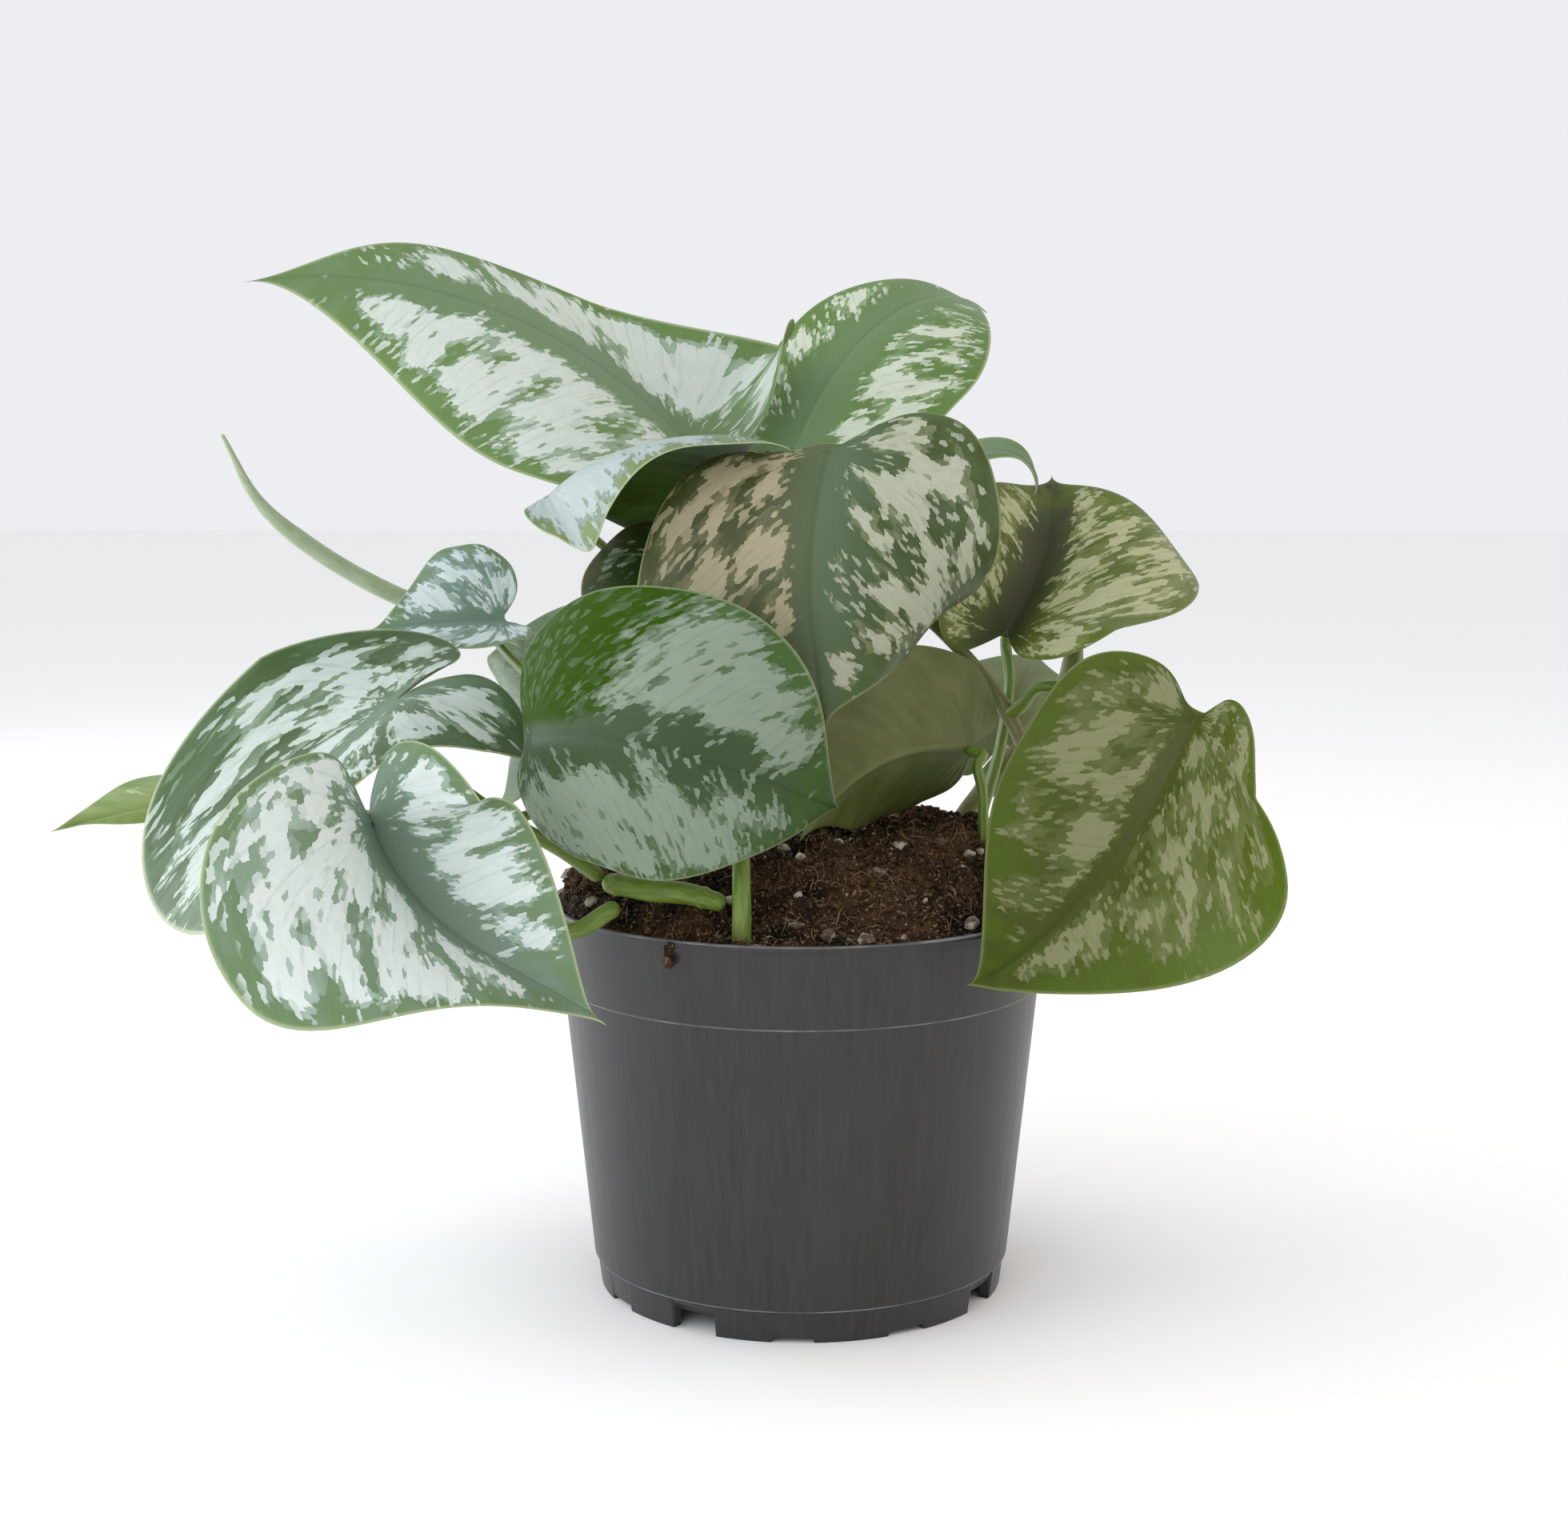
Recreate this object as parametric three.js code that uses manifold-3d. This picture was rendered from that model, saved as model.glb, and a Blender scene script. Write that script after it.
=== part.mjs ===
// A silver-leaved trailing aroid in its nursery pot: pot, compost, stems, leaf stalks and leaves.
// Lengths are in millimetres and angles in degrees. +Z is up, the front faces -Y, and the pot
// stands on z = 0 with its axis on the Z axis.
import * as THREE from "three";
import { mergeVertices } from "three/addons/utils/BufferGeometryUtils.js";
import Module from "manifold-3d";

// ---- Nursery pot: a foot band, a tapering wall and a rim band with a thin lip
const RIM_RADIUS = 60;
const POT_HEIGHT = 93;
const WALL = 1.2;
const BAND_HEIGHT = 19;
const BAND_TAPER = 2.3;
const BAND_STEP = 0.4;
const LIP_HEIGHT = 1.2;
const LIP_STEP = 0.3;
const FOOT_HEIGHT = 7.5;
const FOOT_RADIUS = 49.5;
const FOOT_TAPER = 1;
const FOOT_CHAMFER = 1;
const FOOT_STEP = 0.6;
const FLOOR_HEIGHT = 5;
const FLOOR_THICKNESS = 1.4;
const PAD_RADIUS = 14;
const LATHE_SEGMENTS = 60;

// ---- Gaps and notches in the foot band, and the drain holes in the floor
const FOOT_SECTORS = 4;
const GAP_MIDDLE = -30;
const GAP_ANGLE = 13;
const NOTCH_MIDDLES = [-2, 30];
const NOTCH_ANGLE = 11;
const NOTCH_HEIGHT = 1.2;
const HOLE_RADIUS = 4;
const HOLE_CIRCLE = 34;
const HOLE_COUNT = 8;
const HOLE_SIDES = 12;
const CUT_OVERRUN = 1;

// ---- Compost: a mound that fills the pot
const CLEARANCE = 0.3;
const SOIL_BELOW_RIM = 2.5;
const SOIL_CROWN = 19.5;
const SOIL_EDGE_POWER = 8;
const SOIL_FRONT_LOW = -62;
const SOIL_FRONT_HIGH = -5;
const SOIL_LUMP = 0.6;
const SOIL_RINGS = 8;
const SOIL_SEGMENTS = 40;
const SOCKET_DEPTH = 10;
const SOCKET_CLEARANCE = 0.5;
const SOCKET_MOUTH = 1.5;
const SOCKET_SIDES = 12;
const ABOVE_SOIL = 3;

// ---- Leaves, stalks and stems
const PLANT_RADIUS = 60;
const LEAF_THICKNESS = 0.9;
const LEAF_RINGS = 3;
const MARGIN_STEPS = [5, 4, 3];
const SINUS_DEPTH = 0.03;
const TIP_HANDLE = 0.16;
const WAIST_HANDLES = [0.36, 0.24];
const SHOULDER = 0.5;
const SHOULDER_HANDLES = [0.38, 0.34];
const SINUS_HANDLE = 0.16;
const FOLD_EASE = 0.4;
const WAVE_ANGLE = 24;
const MIDRIB_STEPS = 24;
const TUBE_SIDES = 8;
const STEM_STEPS = 10;
const STALK_STEPS = 9;
const CREEPER_STEPS = 4;
const JOIN_GAP = 0.6;
const STRAIGHT_END = 4;

// Each leaf's place is its stalk joint, measured from the middle of the pot's rim. The blade points
// along its heading (from +X towards +Y), pitch (up) and roll (left half up). Pairs are left, right.
// widest is a share of the length; lobes reach back past the stalk joint. The midrib bends down by
// arch, sideways by sway and turns by twist from base to tip; lift turns the lobes up. folds raise
// the halves at the midrib, curls droop them towards the margin at the base and the tip. A wave
// raises the margin at an angle round the outline.
const LEAVES = [
  {
    name: "upper_left",
    base: [-28, 34, 108],
    aim: { heading: -162, pitch: 46, roll: -28 },
    blade: { length: 118, widths: [43, 24], widest: 0.31, lobes: [20, 20] },
    bend: { arch: 53, bias: 0.23, sway: 23, twist: -37, lift: 39 },
    folds: [0, -3],
    curls: [[13, 26], [25, 31]],
    waves: [[-4, 82], [30, 236], [20, 258]],
  },
  {
    name: "top_back",
    base: [-1, 47, 109],
    aim: { heading: 8, pitch: 67, roll: 43 },
    blade: { length: 83, widths: [20, 34], widest: 0.36, lobes: [10, 9] },
    bend: { arch: 99, bias: 0.36, sway: -6, twist: 3, lift: 10 },
    folds: [15, -2],
    curls: [[15, 26], [16, 19]],
    waves: [],
  },
  {
    name: "folded",
    base: [-57, -20, 96],
    aim: { heading: -12, pitch: 39, roll: -3 },
    blade: { length: 61, widths: [32, 19], widest: 0.3, lobes: [-4, 4] },
    bend: { arch: 57, bias: -0.01, sway: -13, twist: 5, lift: 11 },
    folds: [-28, -2],
    curls: [[27, 18], [18, 17]],
    waves: [[3, 116], [-16, 268]],
  },
  {
    name: "shaded",
    base: [-26, -19, 81],
    aim: { heading: -153, pitch: -32, roll: -31 },
    blade: { length: 32, widths: [12, 20], widest: 0.31, lobes: [4, 4] },
    bend: { arch: 22, bias: 0.01, sway: 15, twist: 3, lift: 10 },
    folds: [9, 13],
    curls: [[15, 20], [17, 24]],
    waves: [],
  },
  {
    name: "centre",
    base: [6, -34, 106],
    aim: { heading: -121, pitch: -59, roll: -22 },
    blade: { length: 63, widths: [47, 40], widest: 0.66, lobes: [16, -3] },
    bend: { arch: 47, bias: 0.14, sway: 28, twist: -16, lift: -1 },
    folds: [-5, -8],
    curls: [[17, 94], [3, 27]],
    waves: [],
  },
  {
    name: "front",
    base: [-58, -56, 45],
    aim: { heading: -48, pitch: 13, roll: 68 },
    blade: { length: 86, widths: [34, 30], widest: 0.38, lobes: [8, 8] },
    bend: { arch: 126, bias: -0.08, sway: -23, twist: -4, lift: -6 },
    folds: [5, -21],
    curls: [[11, -18], [29, 17]],
    waves: [],
  },
  {
    name: "backlit",
    base: [40, 6, 35],
    aim: { heading: -138, pitch: 12, roll: 81 },
    blade: { length: 63, widths: [25, 22], widest: 0.3, lobes: [13, 5] },
    bend: { arch: 17, bias: 0.01, sway: -52, twist: 2, lift: 14 },
    folds: [25, 34],
    curls: [[-2, 23], [-2, 23]],
    waves: [],
  },
  {
    name: "lower_left",
    base: [-90, -71, 29],
    aim: { heading: 8, pitch: -76, roll: 33 },
    blade: { length: 69, widths: [32, 57], widest: 0.29, lobes: [19, 22] },
    bend: { arch: -47, bias: -2.33, sway: -5, twist: 10, lift: 19 },
    folds: [87, 34],
    curls: [[-6, 23], [91, 30]],
    waves: [],
  },
  {
    name: "left_side",
    base: [-93, -25, 49],
    aim: { heading: -142, pitch: -34, roll: 17 },
    blade: { length: 76, widths: [30, 61], widest: 0.32, lobes: [24, 30] },
    bend: { arch: 20, bias: -0.05, sway: 38, twist: 11, lift: -29 },
    folds: [2, 3],
    curls: [[34, 19], [-47, 14]],
    waves: [[-22, 117], [6, 287]],
  },
  {
    name: "left_behind",
    base: [-136, 28, 21],
    aim: { heading: -157, pitch: 0, roll: -28 },
    blade: { length: 51, widths: [6, 18], widest: 0.31, lobes: [10, 10] },
    bend: { arch: 15, bias: 0, sway: 4, twist: -5, lift: 10 },
    folds: [-9, -6],
    curls: [[19, 19], [22, 18]],
    waves: [],
  },
  {
    name: "small_left",
    base: [-76, 38, 64],
    aim: { heading: -156, pitch: 0, roll: -39 },
    blade: { length: 33, widths: [16, 27], widest: 0.29, lobes: [6, 7] },
    bend: { arch: 25, bias: 0.01, sway: -21, twist: 8, lift: 11 },
    folds: [25, 23],
    curls: [[2, 18], [30, 21]],
    waves: [],
  },
  {
    name: "inner_left",
    base: [-58, 36, 45],
    aim: { heading: -146, pitch: -40, roll: -20 },
    blade: { length: 42, widths: [15, 37], widest: 0.32, lobes: [8, 24] },
    bend: { arch: 67, bias: -0.14, sway: -46, twist: 18, lift: 11 },
    folds: [6, 0],
    curls: [[16, 20], [7, 28]],
    waves: [],
  },
  {
    name: "right_upper",
    base: [51, 26, 62],
    aim: { heading: 47, pitch: 43, roll: 33 },
    blade: { length: 58, widths: [25, 43], widest: 0.49, lobes: [15, 12] },
    bend: { arch: 17, bias: 0.11, sway: 30, twist: 3, lift: 4 },
    folds: [40, 53],
    curls: [[7, 20], [26, 138]],
    waves: [[-2, 267]],
  },
  {
    name: "curled",
    base: [27, 11, 95],
    aim: { heading: -18, pitch: 39, roll: 25 },
    blade: { length: 41, widths: [9, 5], widest: 0.31, lobes: [6, 6] },
    bend: { arch: 158, bias: 1.3, sway: -6, twist: 5, lift: 10 },
    folds: [11, 7],
    curls: [[13, 21], [11, 20]],
    waves: [],
  },
  {
    name: "right_front",
    base: [89, -24, 45],
    aim: { heading: 152, pitch: -68, roll: -86 },
    blade: { length: 95, widths: [54, 33], widest: 0.26, lobes: [16, 11] },
    bend: { arch: -91, bias: -0.05, sway: -6, twist: -20, lift: 16 },
    folds: [44, 15],
    curls: [[-14, 30], [-11, 28]],
    waves: [[2, 259]],
  },
  {
    name: "pale_back",
    base: [53, 53, 32],
    aim: { heading: 62, pitch: 59, roll: 21 },
    blade: { length: 37, widths: [17, 17], widest: 0.33, lobes: [13, 6] },
    bend: { arch: 52, bias: 0.02, sway: -8, twist: -1, lift: 8 },
    folds: [11, 9],
    curls: [[7, 17], [10, 19]],
    waves: [],
  },
];

// Stems rise from the compost. Points are measured from the middle of the rim; the first is in it.
const STEMS = [
  {
    name: "stem_left",
    radii: [2.6, 1.9],
    points: [[-20, 12, 0], [-21, 13, 14], [-25, 16, 30], [-31, 20, 56], [-30, 27, 84]],
  },
  {
    name: "stem_right",
    radii: [1.9, 1.6],
    points: [[46, 6, 0], [47, 8, 14], [55, 18, 30], [50, 24, 44], [38, 23, 59], [20, 17, 76], [10, 12, 88]],
  },
  {
    name: "stem_back",
    radii: [2.6, 2.2],
    points: [[40, 32, 0], [41, 33, 14], [58, 40, 34], [69, 44, 51], [69, 50, 62], [54, 46, 84]],
  },
];

// The cut-off creeping stem at the front lies over the compost, clear of it at both ends.
const CREEPER = {
  name: "stem_creeping",
  radii: [2.6, 2.4],
  points: [[-42, -41, 10.5], [-33, -43, 9.5], [-25, -45, 9], [-18.5, -48, 7.8]],
};

// Leaf stalks that rise from the compost, by the leaf that each carries.
const ROOTED_STALKS = [
  {
    leaf: "front",
    radii: [2.3, 1.5],
    points: [[-13, -50, 0], [-13, -49.5, 10], [-14, -45, 22], [-24, -35, 36]],
  },
  { leaf: "backlit", radii: [1.5, 1.3], points: [[43, -6, 0], [43.5, -5, 12], [43, -2, 26], [42, 0, 32]] },
  {
    leaf: "right_upper",
    radii: [1.6, 1.4],
    points: [[44, 25, 0], [45, 26, 12], [50, 29, 34], [52, 30, 50]],
  },
  { leaf: "top_back", radii: [1.7, 1.4], points: [[4, 26, 0], [4, 27, 14], [3, 38, 50], [1, 52, 95]] },
];

// Leaf stalks that branch from a stem, at a share of its length.
const BRANCH_STALKS = [
  { leaf: "upper_left", stem: "stem_left", share: 0.93, radii: [1.5, 1.3], points: [[-27, 32, 98]] },
  {
    leaf: "folded",
    stem: "stem_left",
    share: 0.6,
    radii: [1.3, 1.1],
    points: [[-38, 4, 74], [-46, -4, 84]],
  },
  { leaf: "shaded", stem: "stem_left", share: 0.7, radii: [1.2, 1.1], points: [[-27, 2, 74]] },
  { leaf: "inner_left", stem: "stem_left", share: 0.36, radii: [1.3, 1.1], points: [[-44, 32, 36]] },
  {
    leaf: "small_left",
    stem: "stem_left",
    share: 0.26,
    radii: [1.6, 1.4],
    points: [[-46, 14, 34], [-66, 24, 50]],
  },
  {
    leaf: "left_behind",
    stem: "stem_left",
    share: 0.2,
    radii: [1.5, 1.2],
    points: [[-58, 34, 17], [-84, 34, 12], [-112, 34, 15]],
  },
  { leaf: "centre", stem: "stem_right", share: 0.93, radii: [1.5, 1.4], points: [[6, -8, 94]] },
  {
    leaf: "right_front",
    stem: "stem_right",
    share: 0.42,
    radii: [1.5, 1.3],
    points: [[58, 17, 49], [76, 2, 47]],
  },
  { leaf: "curled", stem: "stem_right", share: 0.82, radii: [1.2, 1], points: [[24, 12, 84]] },
  { leaf: "pale_back", stem: "stem_back", share: 0.25, radii: [1.4, 1.2], points: [[47, 43, 24]] },
];

// Leaf stalks that leave the creeping stem's joint, next to it.
const CREEPER_STALKS = [
  {
    leaf: "lower_left",
    radii: [2.1, 1.5],
    points: [[-42, -46, 5.6], [-50, -48, 1.5], [-66, -50, 4], [-84, -56, 20]],
  },
  {
    leaf: "left_side",
    radii: [2, 1.4],
    points: [[-46, -36, 12], [-53, -36, 17], [-70, -32, 26], [-86, -26, 38]],
  },
];

// The newest leaf is still rolled: a spike that leaves the small left leaf's stalk.
const ROLLED_LEAF = {
  name: "leaf_rolled",
  radii: [1.5, 2.4, 2.2, 0.5],
  points: [[-73, 50, 58], [-86, 51, 63], [-102, 46, 69], [-121, 36, 81], [-134, 27, 94], [-141, 21, 110]],
};

// ---- Materials
function finish(color, roughness) {
  return new THREE.MeshStandardMaterial({ color, roughness, metalness: 0 });
}

const POT_FINISH = finish(0x5b5d5e, 0.55);
const SOIL_FINISH = finish(0x3f2a1c, 0.95);
const LEAF_FINISH = finish(0x8fa183, 0.5);
const STALK_FINISH = finish(0x75913f, 0.5);
const STEM_FINISH = finish(0x6a6a3c, 0.55);

// ---- Helpers
const { degToRad } = THREE.MathUtils;
const wasm = await Module();
wasm.setup();
const plant = new THREE.Group();

function add(name, geometry, material) {
  const mesh = new THREE.Mesh(geometry, material);
  mesh.name = name;
  plant.add(mesh);
}

function toSolid(geometry) {
  const bare = geometry.clone();
  bare.deleteAttribute("normal");
  bare.deleteAttribute("uv");
  const merged = mergeVertices(bare, 1e-4);
  return new wasm.Manifold(
    new wasm.Mesh({
      numProp: 3,
      vertProperties: merged.attributes.position.array,
      triVerts: new Uint32Array(merged.index.array),
    }),
  );
}

function toGeometry(solid) {
  const mesh = solid.getMesh();
  const geometry = new THREE.BufferGeometry();
  geometry.setAttribute("position", new THREE.BufferAttribute(mesh.vertProperties, 3));
  geometry.setIndex(new THREE.BufferAttribute(mesh.triVerts, 1));
  geometry.computeVertexNormals();
  return geometry;
}

// A place measured from the rim's middle; the plant spreads with the pot's rim.
function fromRim([x, y, z]) {
  const spread = RIM_RADIUS / PLANT_RADIUS;
  return new THREE.Vector3(x * spread, y * spread, z + POT_HEIGHT);
}

// ---- Pot
const bandFootZ = POT_HEIGHT - BAND_HEIGHT;
const bandFootRadius = RIM_RADIUS - LIP_STEP - BAND_TAPER;

function wallRadius(z) {
  const top = bandFootRadius - BAND_STEP;
  const share = (z - FOOT_HEIGHT) / (bandFootZ - FOOT_HEIGHT);
  return THREE.MathUtils.lerp(FOOT_RADIUS + FOOT_STEP, top, share);
}

function innerRadius(z) {
  if (z < bandFootZ) return wallRadius(z) - WALL;
  return THREE.MathUtils.lerp(
    bandFootRadius - BAND_STEP - WALL,
    RIM_RADIUS - LIP_STEP - WALL,
    (z - bandFootZ) / BAND_HEIGHT,
  );
}

function potProfile() {
  const floorTop = FLOOR_HEIGHT + FLOOR_THICKNESS;
  const footBottom = FOOT_RADIUS - FOOT_TAPER;
  const outline = [
    [0, 0],
    [PAD_RADIUS, 0],
    [PAD_RADIUS, FLOOR_HEIGHT],
    [footBottom - WALL * 2, FLOOR_HEIGHT],
    [footBottom - WALL * 2, 0],
    [footBottom - FOOT_CHAMFER, 0],
    [footBottom, FOOT_CHAMFER],
    [FOOT_RADIUS, FOOT_HEIGHT],
    [wallRadius(FOOT_HEIGHT), FOOT_HEIGHT],
    [wallRadius(bandFootZ), bandFootZ],
    [bandFootRadius, bandFootZ],
    [RIM_RADIUS - LIP_STEP, POT_HEIGHT - LIP_HEIGHT],
    [RIM_RADIUS, POT_HEIGHT - LIP_HEIGHT],
    [RIM_RADIUS, POT_HEIGHT],
    [innerRadius(POT_HEIGHT), POT_HEIGHT],
    [innerRadius(bandFootZ), bandFootZ],
    [innerRadius(floorTop), floorTop],
    [0, floorTop],
  ];
  return outline.map(([radius, z]) => new THREE.Vector2(radius, z));
}

// A block across the foot band, from inside it to well outside, as a solid to cut with.
function footCutter(middle, angle, height) {
  const half = degToRad(angle / 2);
  const front = degToRad(middle - 90);
  const inner = FOOT_RADIUS - FOOT_TAPER - WALL * 2 - CUT_OVERRUN;
  const corner = (radius, side) => new THREE.Vector2(
    radius * Math.cos(front + side * half),
    radius * Math.sin(front + side * half),
  );
  const outline = new THREE.Shape([
    corner(inner, -1),
    corner(RIM_RADIUS, -1),
    corner(RIM_RADIUS, 1),
    corner(inner, 1),
  ]);
  const block = new THREE.ExtrudeGeometry(outline, { depth: height + CUT_OVERRUN, bevelEnabled: false });
  return toSolid(block.translate(0, 0, -CUT_OVERRUN));
}

// An upright round rod between two heights, as a solid to cut with.
function rod(x, y, from, to, [lowRadius, highRadius], sides) {
  const geometry = new THREE.CylinderGeometry(highRadius, lowRadius, to - from, sides);
  geometry.rotateX(Math.PI / 2);
  return toSolid(geometry.translate(x, y, (from + to) / 2));
}

function pot() {
  const lathe = new THREE.LatheGeometry(potProfile(), LATHE_SEGMENTS);
  lathe.rotateX(Math.PI / 2);
  const cutters = [];
  for (let sector = 0; sector < FOOT_SECTORS; sector += 1) {
    const turn = (360 / FOOT_SECTORS) * sector;
    cutters.push(footCutter(GAP_MIDDLE + turn, GAP_ANGLE, FLOOR_HEIGHT));
    for (const middle of NOTCH_MIDDLES) {
      cutters.push(footCutter(middle + turn, NOTCH_ANGLE, NOTCH_HEIGHT));
    }
  }
  for (let hole = 0; hole < HOLE_COUNT; hole += 1) {
    const angle = (2 * Math.PI * hole) / HOLE_COUNT;
    const x = HOLE_CIRCLE * Math.cos(angle);
    const y = HOLE_CIRCLE * Math.sin(angle);
    cutters.push(rod(x, y, -CUT_OVERRUN, bandFootZ, [HOLE_RADIUS, HOLE_RADIUS], HOLE_SIDES));
  }
  return toGeometry(toSolid(lathe).subtract(wasm.Manifold.union(cutters)));
}

// ---- Compost
// The mound is low at the front, where it meets the lip, and stands high from the middle back.
function soilHeight(x, y) {
  const share = Math.min(1, Math.hypot(x, y) / innerRadius(POT_HEIGHT));
  const fill = 1 - share ** SOIL_EDGE_POWER;
  const rise = SOIL_CROWN * fill * THREE.MathUtils.smoothstep(y, SOIL_FRONT_LOW, SOIL_FRONT_HIGH);
  const lumps = Math.sin(x * 0.31) * Math.cos(y * 0.27) + Math.sin(x * 0.13 + y * 0.19);
  return POT_HEIGHT - SOIL_BELOW_RIM + rise + SOIL_LUMP * fill * lumps;
}

function soil(rootedTubes) {
  const floorTop = FLOOR_HEIGHT + FLOOR_THICKNESS + CLEARANCE;
  const levels = [floorTop, bandFootZ];
  const positions = [0, 0, floorTop];
  const index = [];
  const ringOf = (radiusAt, heightAt) => {
    for (let i = 0; i < SOIL_SEGMENTS; i += 1) {
      const angle = (2 * Math.PI * i) / SOIL_SEGMENTS;
      const x = radiusAt * Math.cos(angle);
      const y = radiusAt * Math.sin(angle);
      positions.push(x, y, heightAt(x, y));
    }
  };
  for (const z of levels) ringOf(innerRadius(z) - CLEARANCE * 2, () => z);
  const topRadius = innerRadius(POT_HEIGHT - SOIL_BELOW_RIM) - CLEARANCE * 2;
  for (let ring = SOIL_RINGS; ring > 0; ring -= 1) {
    ringOf((topRadius * ring) / SOIL_RINGS, soilHeight);
  }
  positions.push(0, 0, soilHeight(0, 0));
  const rings = levels.length + SOIL_RINGS;
  const last = 1 + rings * SOIL_SEGMENTS;
  for (let i = 0; i < SOIL_SEGMENTS; i += 1) {
    const next = (i + 1) % SOIL_SEGMENTS;
    index.push(0, 1 + next, 1 + i);
    for (let ring = 0; ring < rings - 1; ring += 1) {
      const low = 1 + ring * SOIL_SEGMENTS;
      const high = low + SOIL_SEGMENTS;
      index.push(low + i, low + next, high + next, low + i, high + next, high + i);
    }
    const inner = last - SOIL_SEGMENTS;
    index.push(inner + i, inner + next, last);
  }
  const geometry = new THREE.BufferGeometry();
  geometry.setAttribute("position", new THREE.Float32BufferAttribute(positions, 3));
  geometry.setIndex(index);
  return toGeometry(toSolid(geometry).subtract(wasm.Manifold.union(rootedTubes)));
}

// ---- Leaf blades
function bezier(...pairs) {
  return new THREE.CubicBezierCurve(...pairs.map(([x, y]) => new THREE.Vector2(x, y)));
}

// Half of the flat outline, from the tip to just short of the notch between the lobes.
function halfOutline(length, width, widest, lobe) {
  const waist = widest * length;
  const shoulder = SHOULDER * width;
  const notch = -SINUS_DEPTH * length;
  const [ahead, behind] = WAIST_HANDLES.map((share) => share * length);
  const [above, below] = SHOULDER_HANDLES.map((share) => share * width);
  const tipHandle = [(1 - TIP_HANDLE) * length, 0];
  const stations = [
    bezier([length, 0], tipHandle, [waist + ahead, width], [waist, width]),
    bezier([waist, width], [waist - behind, width], [-lobe, shoulder + above], [-lobe, shoulder]),
    bezier([-lobe, shoulder], [-lobe, shoulder - below], [notch, SINUS_HANDLE * width], [notch, 0]),
  ];
  return stations.flatMap((curve, i) => curve.getPoints(MARGIN_STEPS[i]).slice(0, -1));
}

function leafOutline({ length, widths, widest, lobes }) {
  const left = halfOutline(length, widths[0], widest, lobes[0]);
  const right = halfOutline(length, widths[1], widest, lobes[1]);
  for (const point of right) point.y = -point.y;
  const notch = new THREE.Vector2(-SINUS_DEPTH * length, 0);
  return [...left, notch, ...right.slice(1).reverse()];
}

function leafAxes({ heading, pitch, roll }) {
  const along = new THREE.Vector3(
    Math.cos(degToRad(pitch)) * Math.cos(degToRad(heading)),
    Math.cos(degToRad(pitch)) * Math.sin(degToRad(heading)),
    Math.sin(degToRad(pitch)),
  );
  const level = new THREE.Vector3(-Math.sin(degToRad(heading)), Math.cos(degToRad(heading)), 0);
  const across = level.clone().applyAxisAngle(along, degToRad(roll));
  const up = along.clone().cross(across);
  return { along, across, up };
}

// The midrib's own axes at a distance s from the stalk joint.
function midribAxes(leaf, axes, s) {
  const { length, lobes } = leaf.blade;
  const { arch, bias, sway, lift } = leaf.bend;
  const share = THREE.MathUtils.clamp(s / length, 0, 1.2);
  const back = THREE.MathUtils.clamp(-s / Math.max(...lobes), 0, 1.5);
  const down = degToRad(arch * (share + bias * (share * share - share)) + lift * back);
  const side = degToRad(sway * share);
  const level = axes.along.clone().multiplyScalar(Math.cos(side)).addScaledVector(axes.across, Math.sin(side));
  return {
    along: level.clone().multiplyScalar(Math.cos(down)).addScaledVector(axes.up, -Math.sin(down)),
    up: level.clone().multiplyScalar(Math.sin(down)).addScaledVector(axes.up, Math.cos(down)),
    across: axes.across.clone().multiplyScalar(Math.cos(side)).addScaledVector(axes.along, -Math.sin(side)),
  };
}

// The place of a flat outline point (s along, t across) on the bent blade.
function bentPoint(leaf, axes, s, t, reach, angle) {
  const point = new THREE.Vector3();
  for (let step = 0; step < MIDRIB_STEPS; step += 1) {
    const here = midribAxes(leaf, axes, (s * (step + 0.5)) / MIDRIB_STEPS);
    point.addScaledVector(here.along, s / MIDRIB_STEPS);
  }
  const side = t >= 0 ? 0 : 1;
  const share = THREE.MathUtils.clamp(s / leaf.blade.length, 0, 1);
  const local = midribAxes(leaf, axes, s);
  const turn = leaf.bend.twist * share;
  const across = local.across.clone().multiplyScalar(Math.cos(degToRad(turn)));
  across.addScaledVector(local.up, Math.sin(degToRad(turn)));
  const up = local.up.clone().multiplyScalar(Math.cos(degToRad(turn)));
  up.addScaledVector(local.across, -Math.sin(degToRad(turn)));
  const [atBase, atTip] = leaf.curls[side];
  const outwards = Math.abs(t) / leaf.blade.widths[side];
  const curl = degToRad(THREE.MathUtils.lerp(atBase, atTip, share)) * outwards;
  const slope = degToRad(leaf.folds[side]) * (1 - FOLD_EASE * share) - curl / 2;
  const chord = Math.abs(curl) < 1e-6 ? 1 : Math.sin(curl / 2) / (curl / 2);
  let rise = Math.abs(t) * Math.sin(slope) * chord;
  for (const [height, middle] of leaf.waves) {
    const away = THREE.MathUtils.euclideanModulo(angle - middle + 180, 360) - 180;
    rise += height * reach * reach * Math.exp(-((away / WAVE_ANGLE) ** 2));
  }
  point.addScaledVector(across, t * Math.cos(slope) * chord);
  point.addScaledVector(up, rise);
  return point;
}

// Triangles of one face of a blade: a fan at the stalk joint and bands out to the margin.
function bladeTriangles(spokes) {
  const index = [];
  for (let i = 0; i < spokes; i += 1) {
    const next = (i + 1) % spokes;
    index.push(0, 1 + i, 1 + next);
    for (let ring = 1; ring < LEAF_RINGS; ring += 1) {
      const inner = 1 + (ring - 1) * spokes;
      const outer = inner + spokes;
      index.push(inner + i, outer + i, outer + next, inner + i, outer + next, inner + next);
    }
  }
  return index;
}

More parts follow.
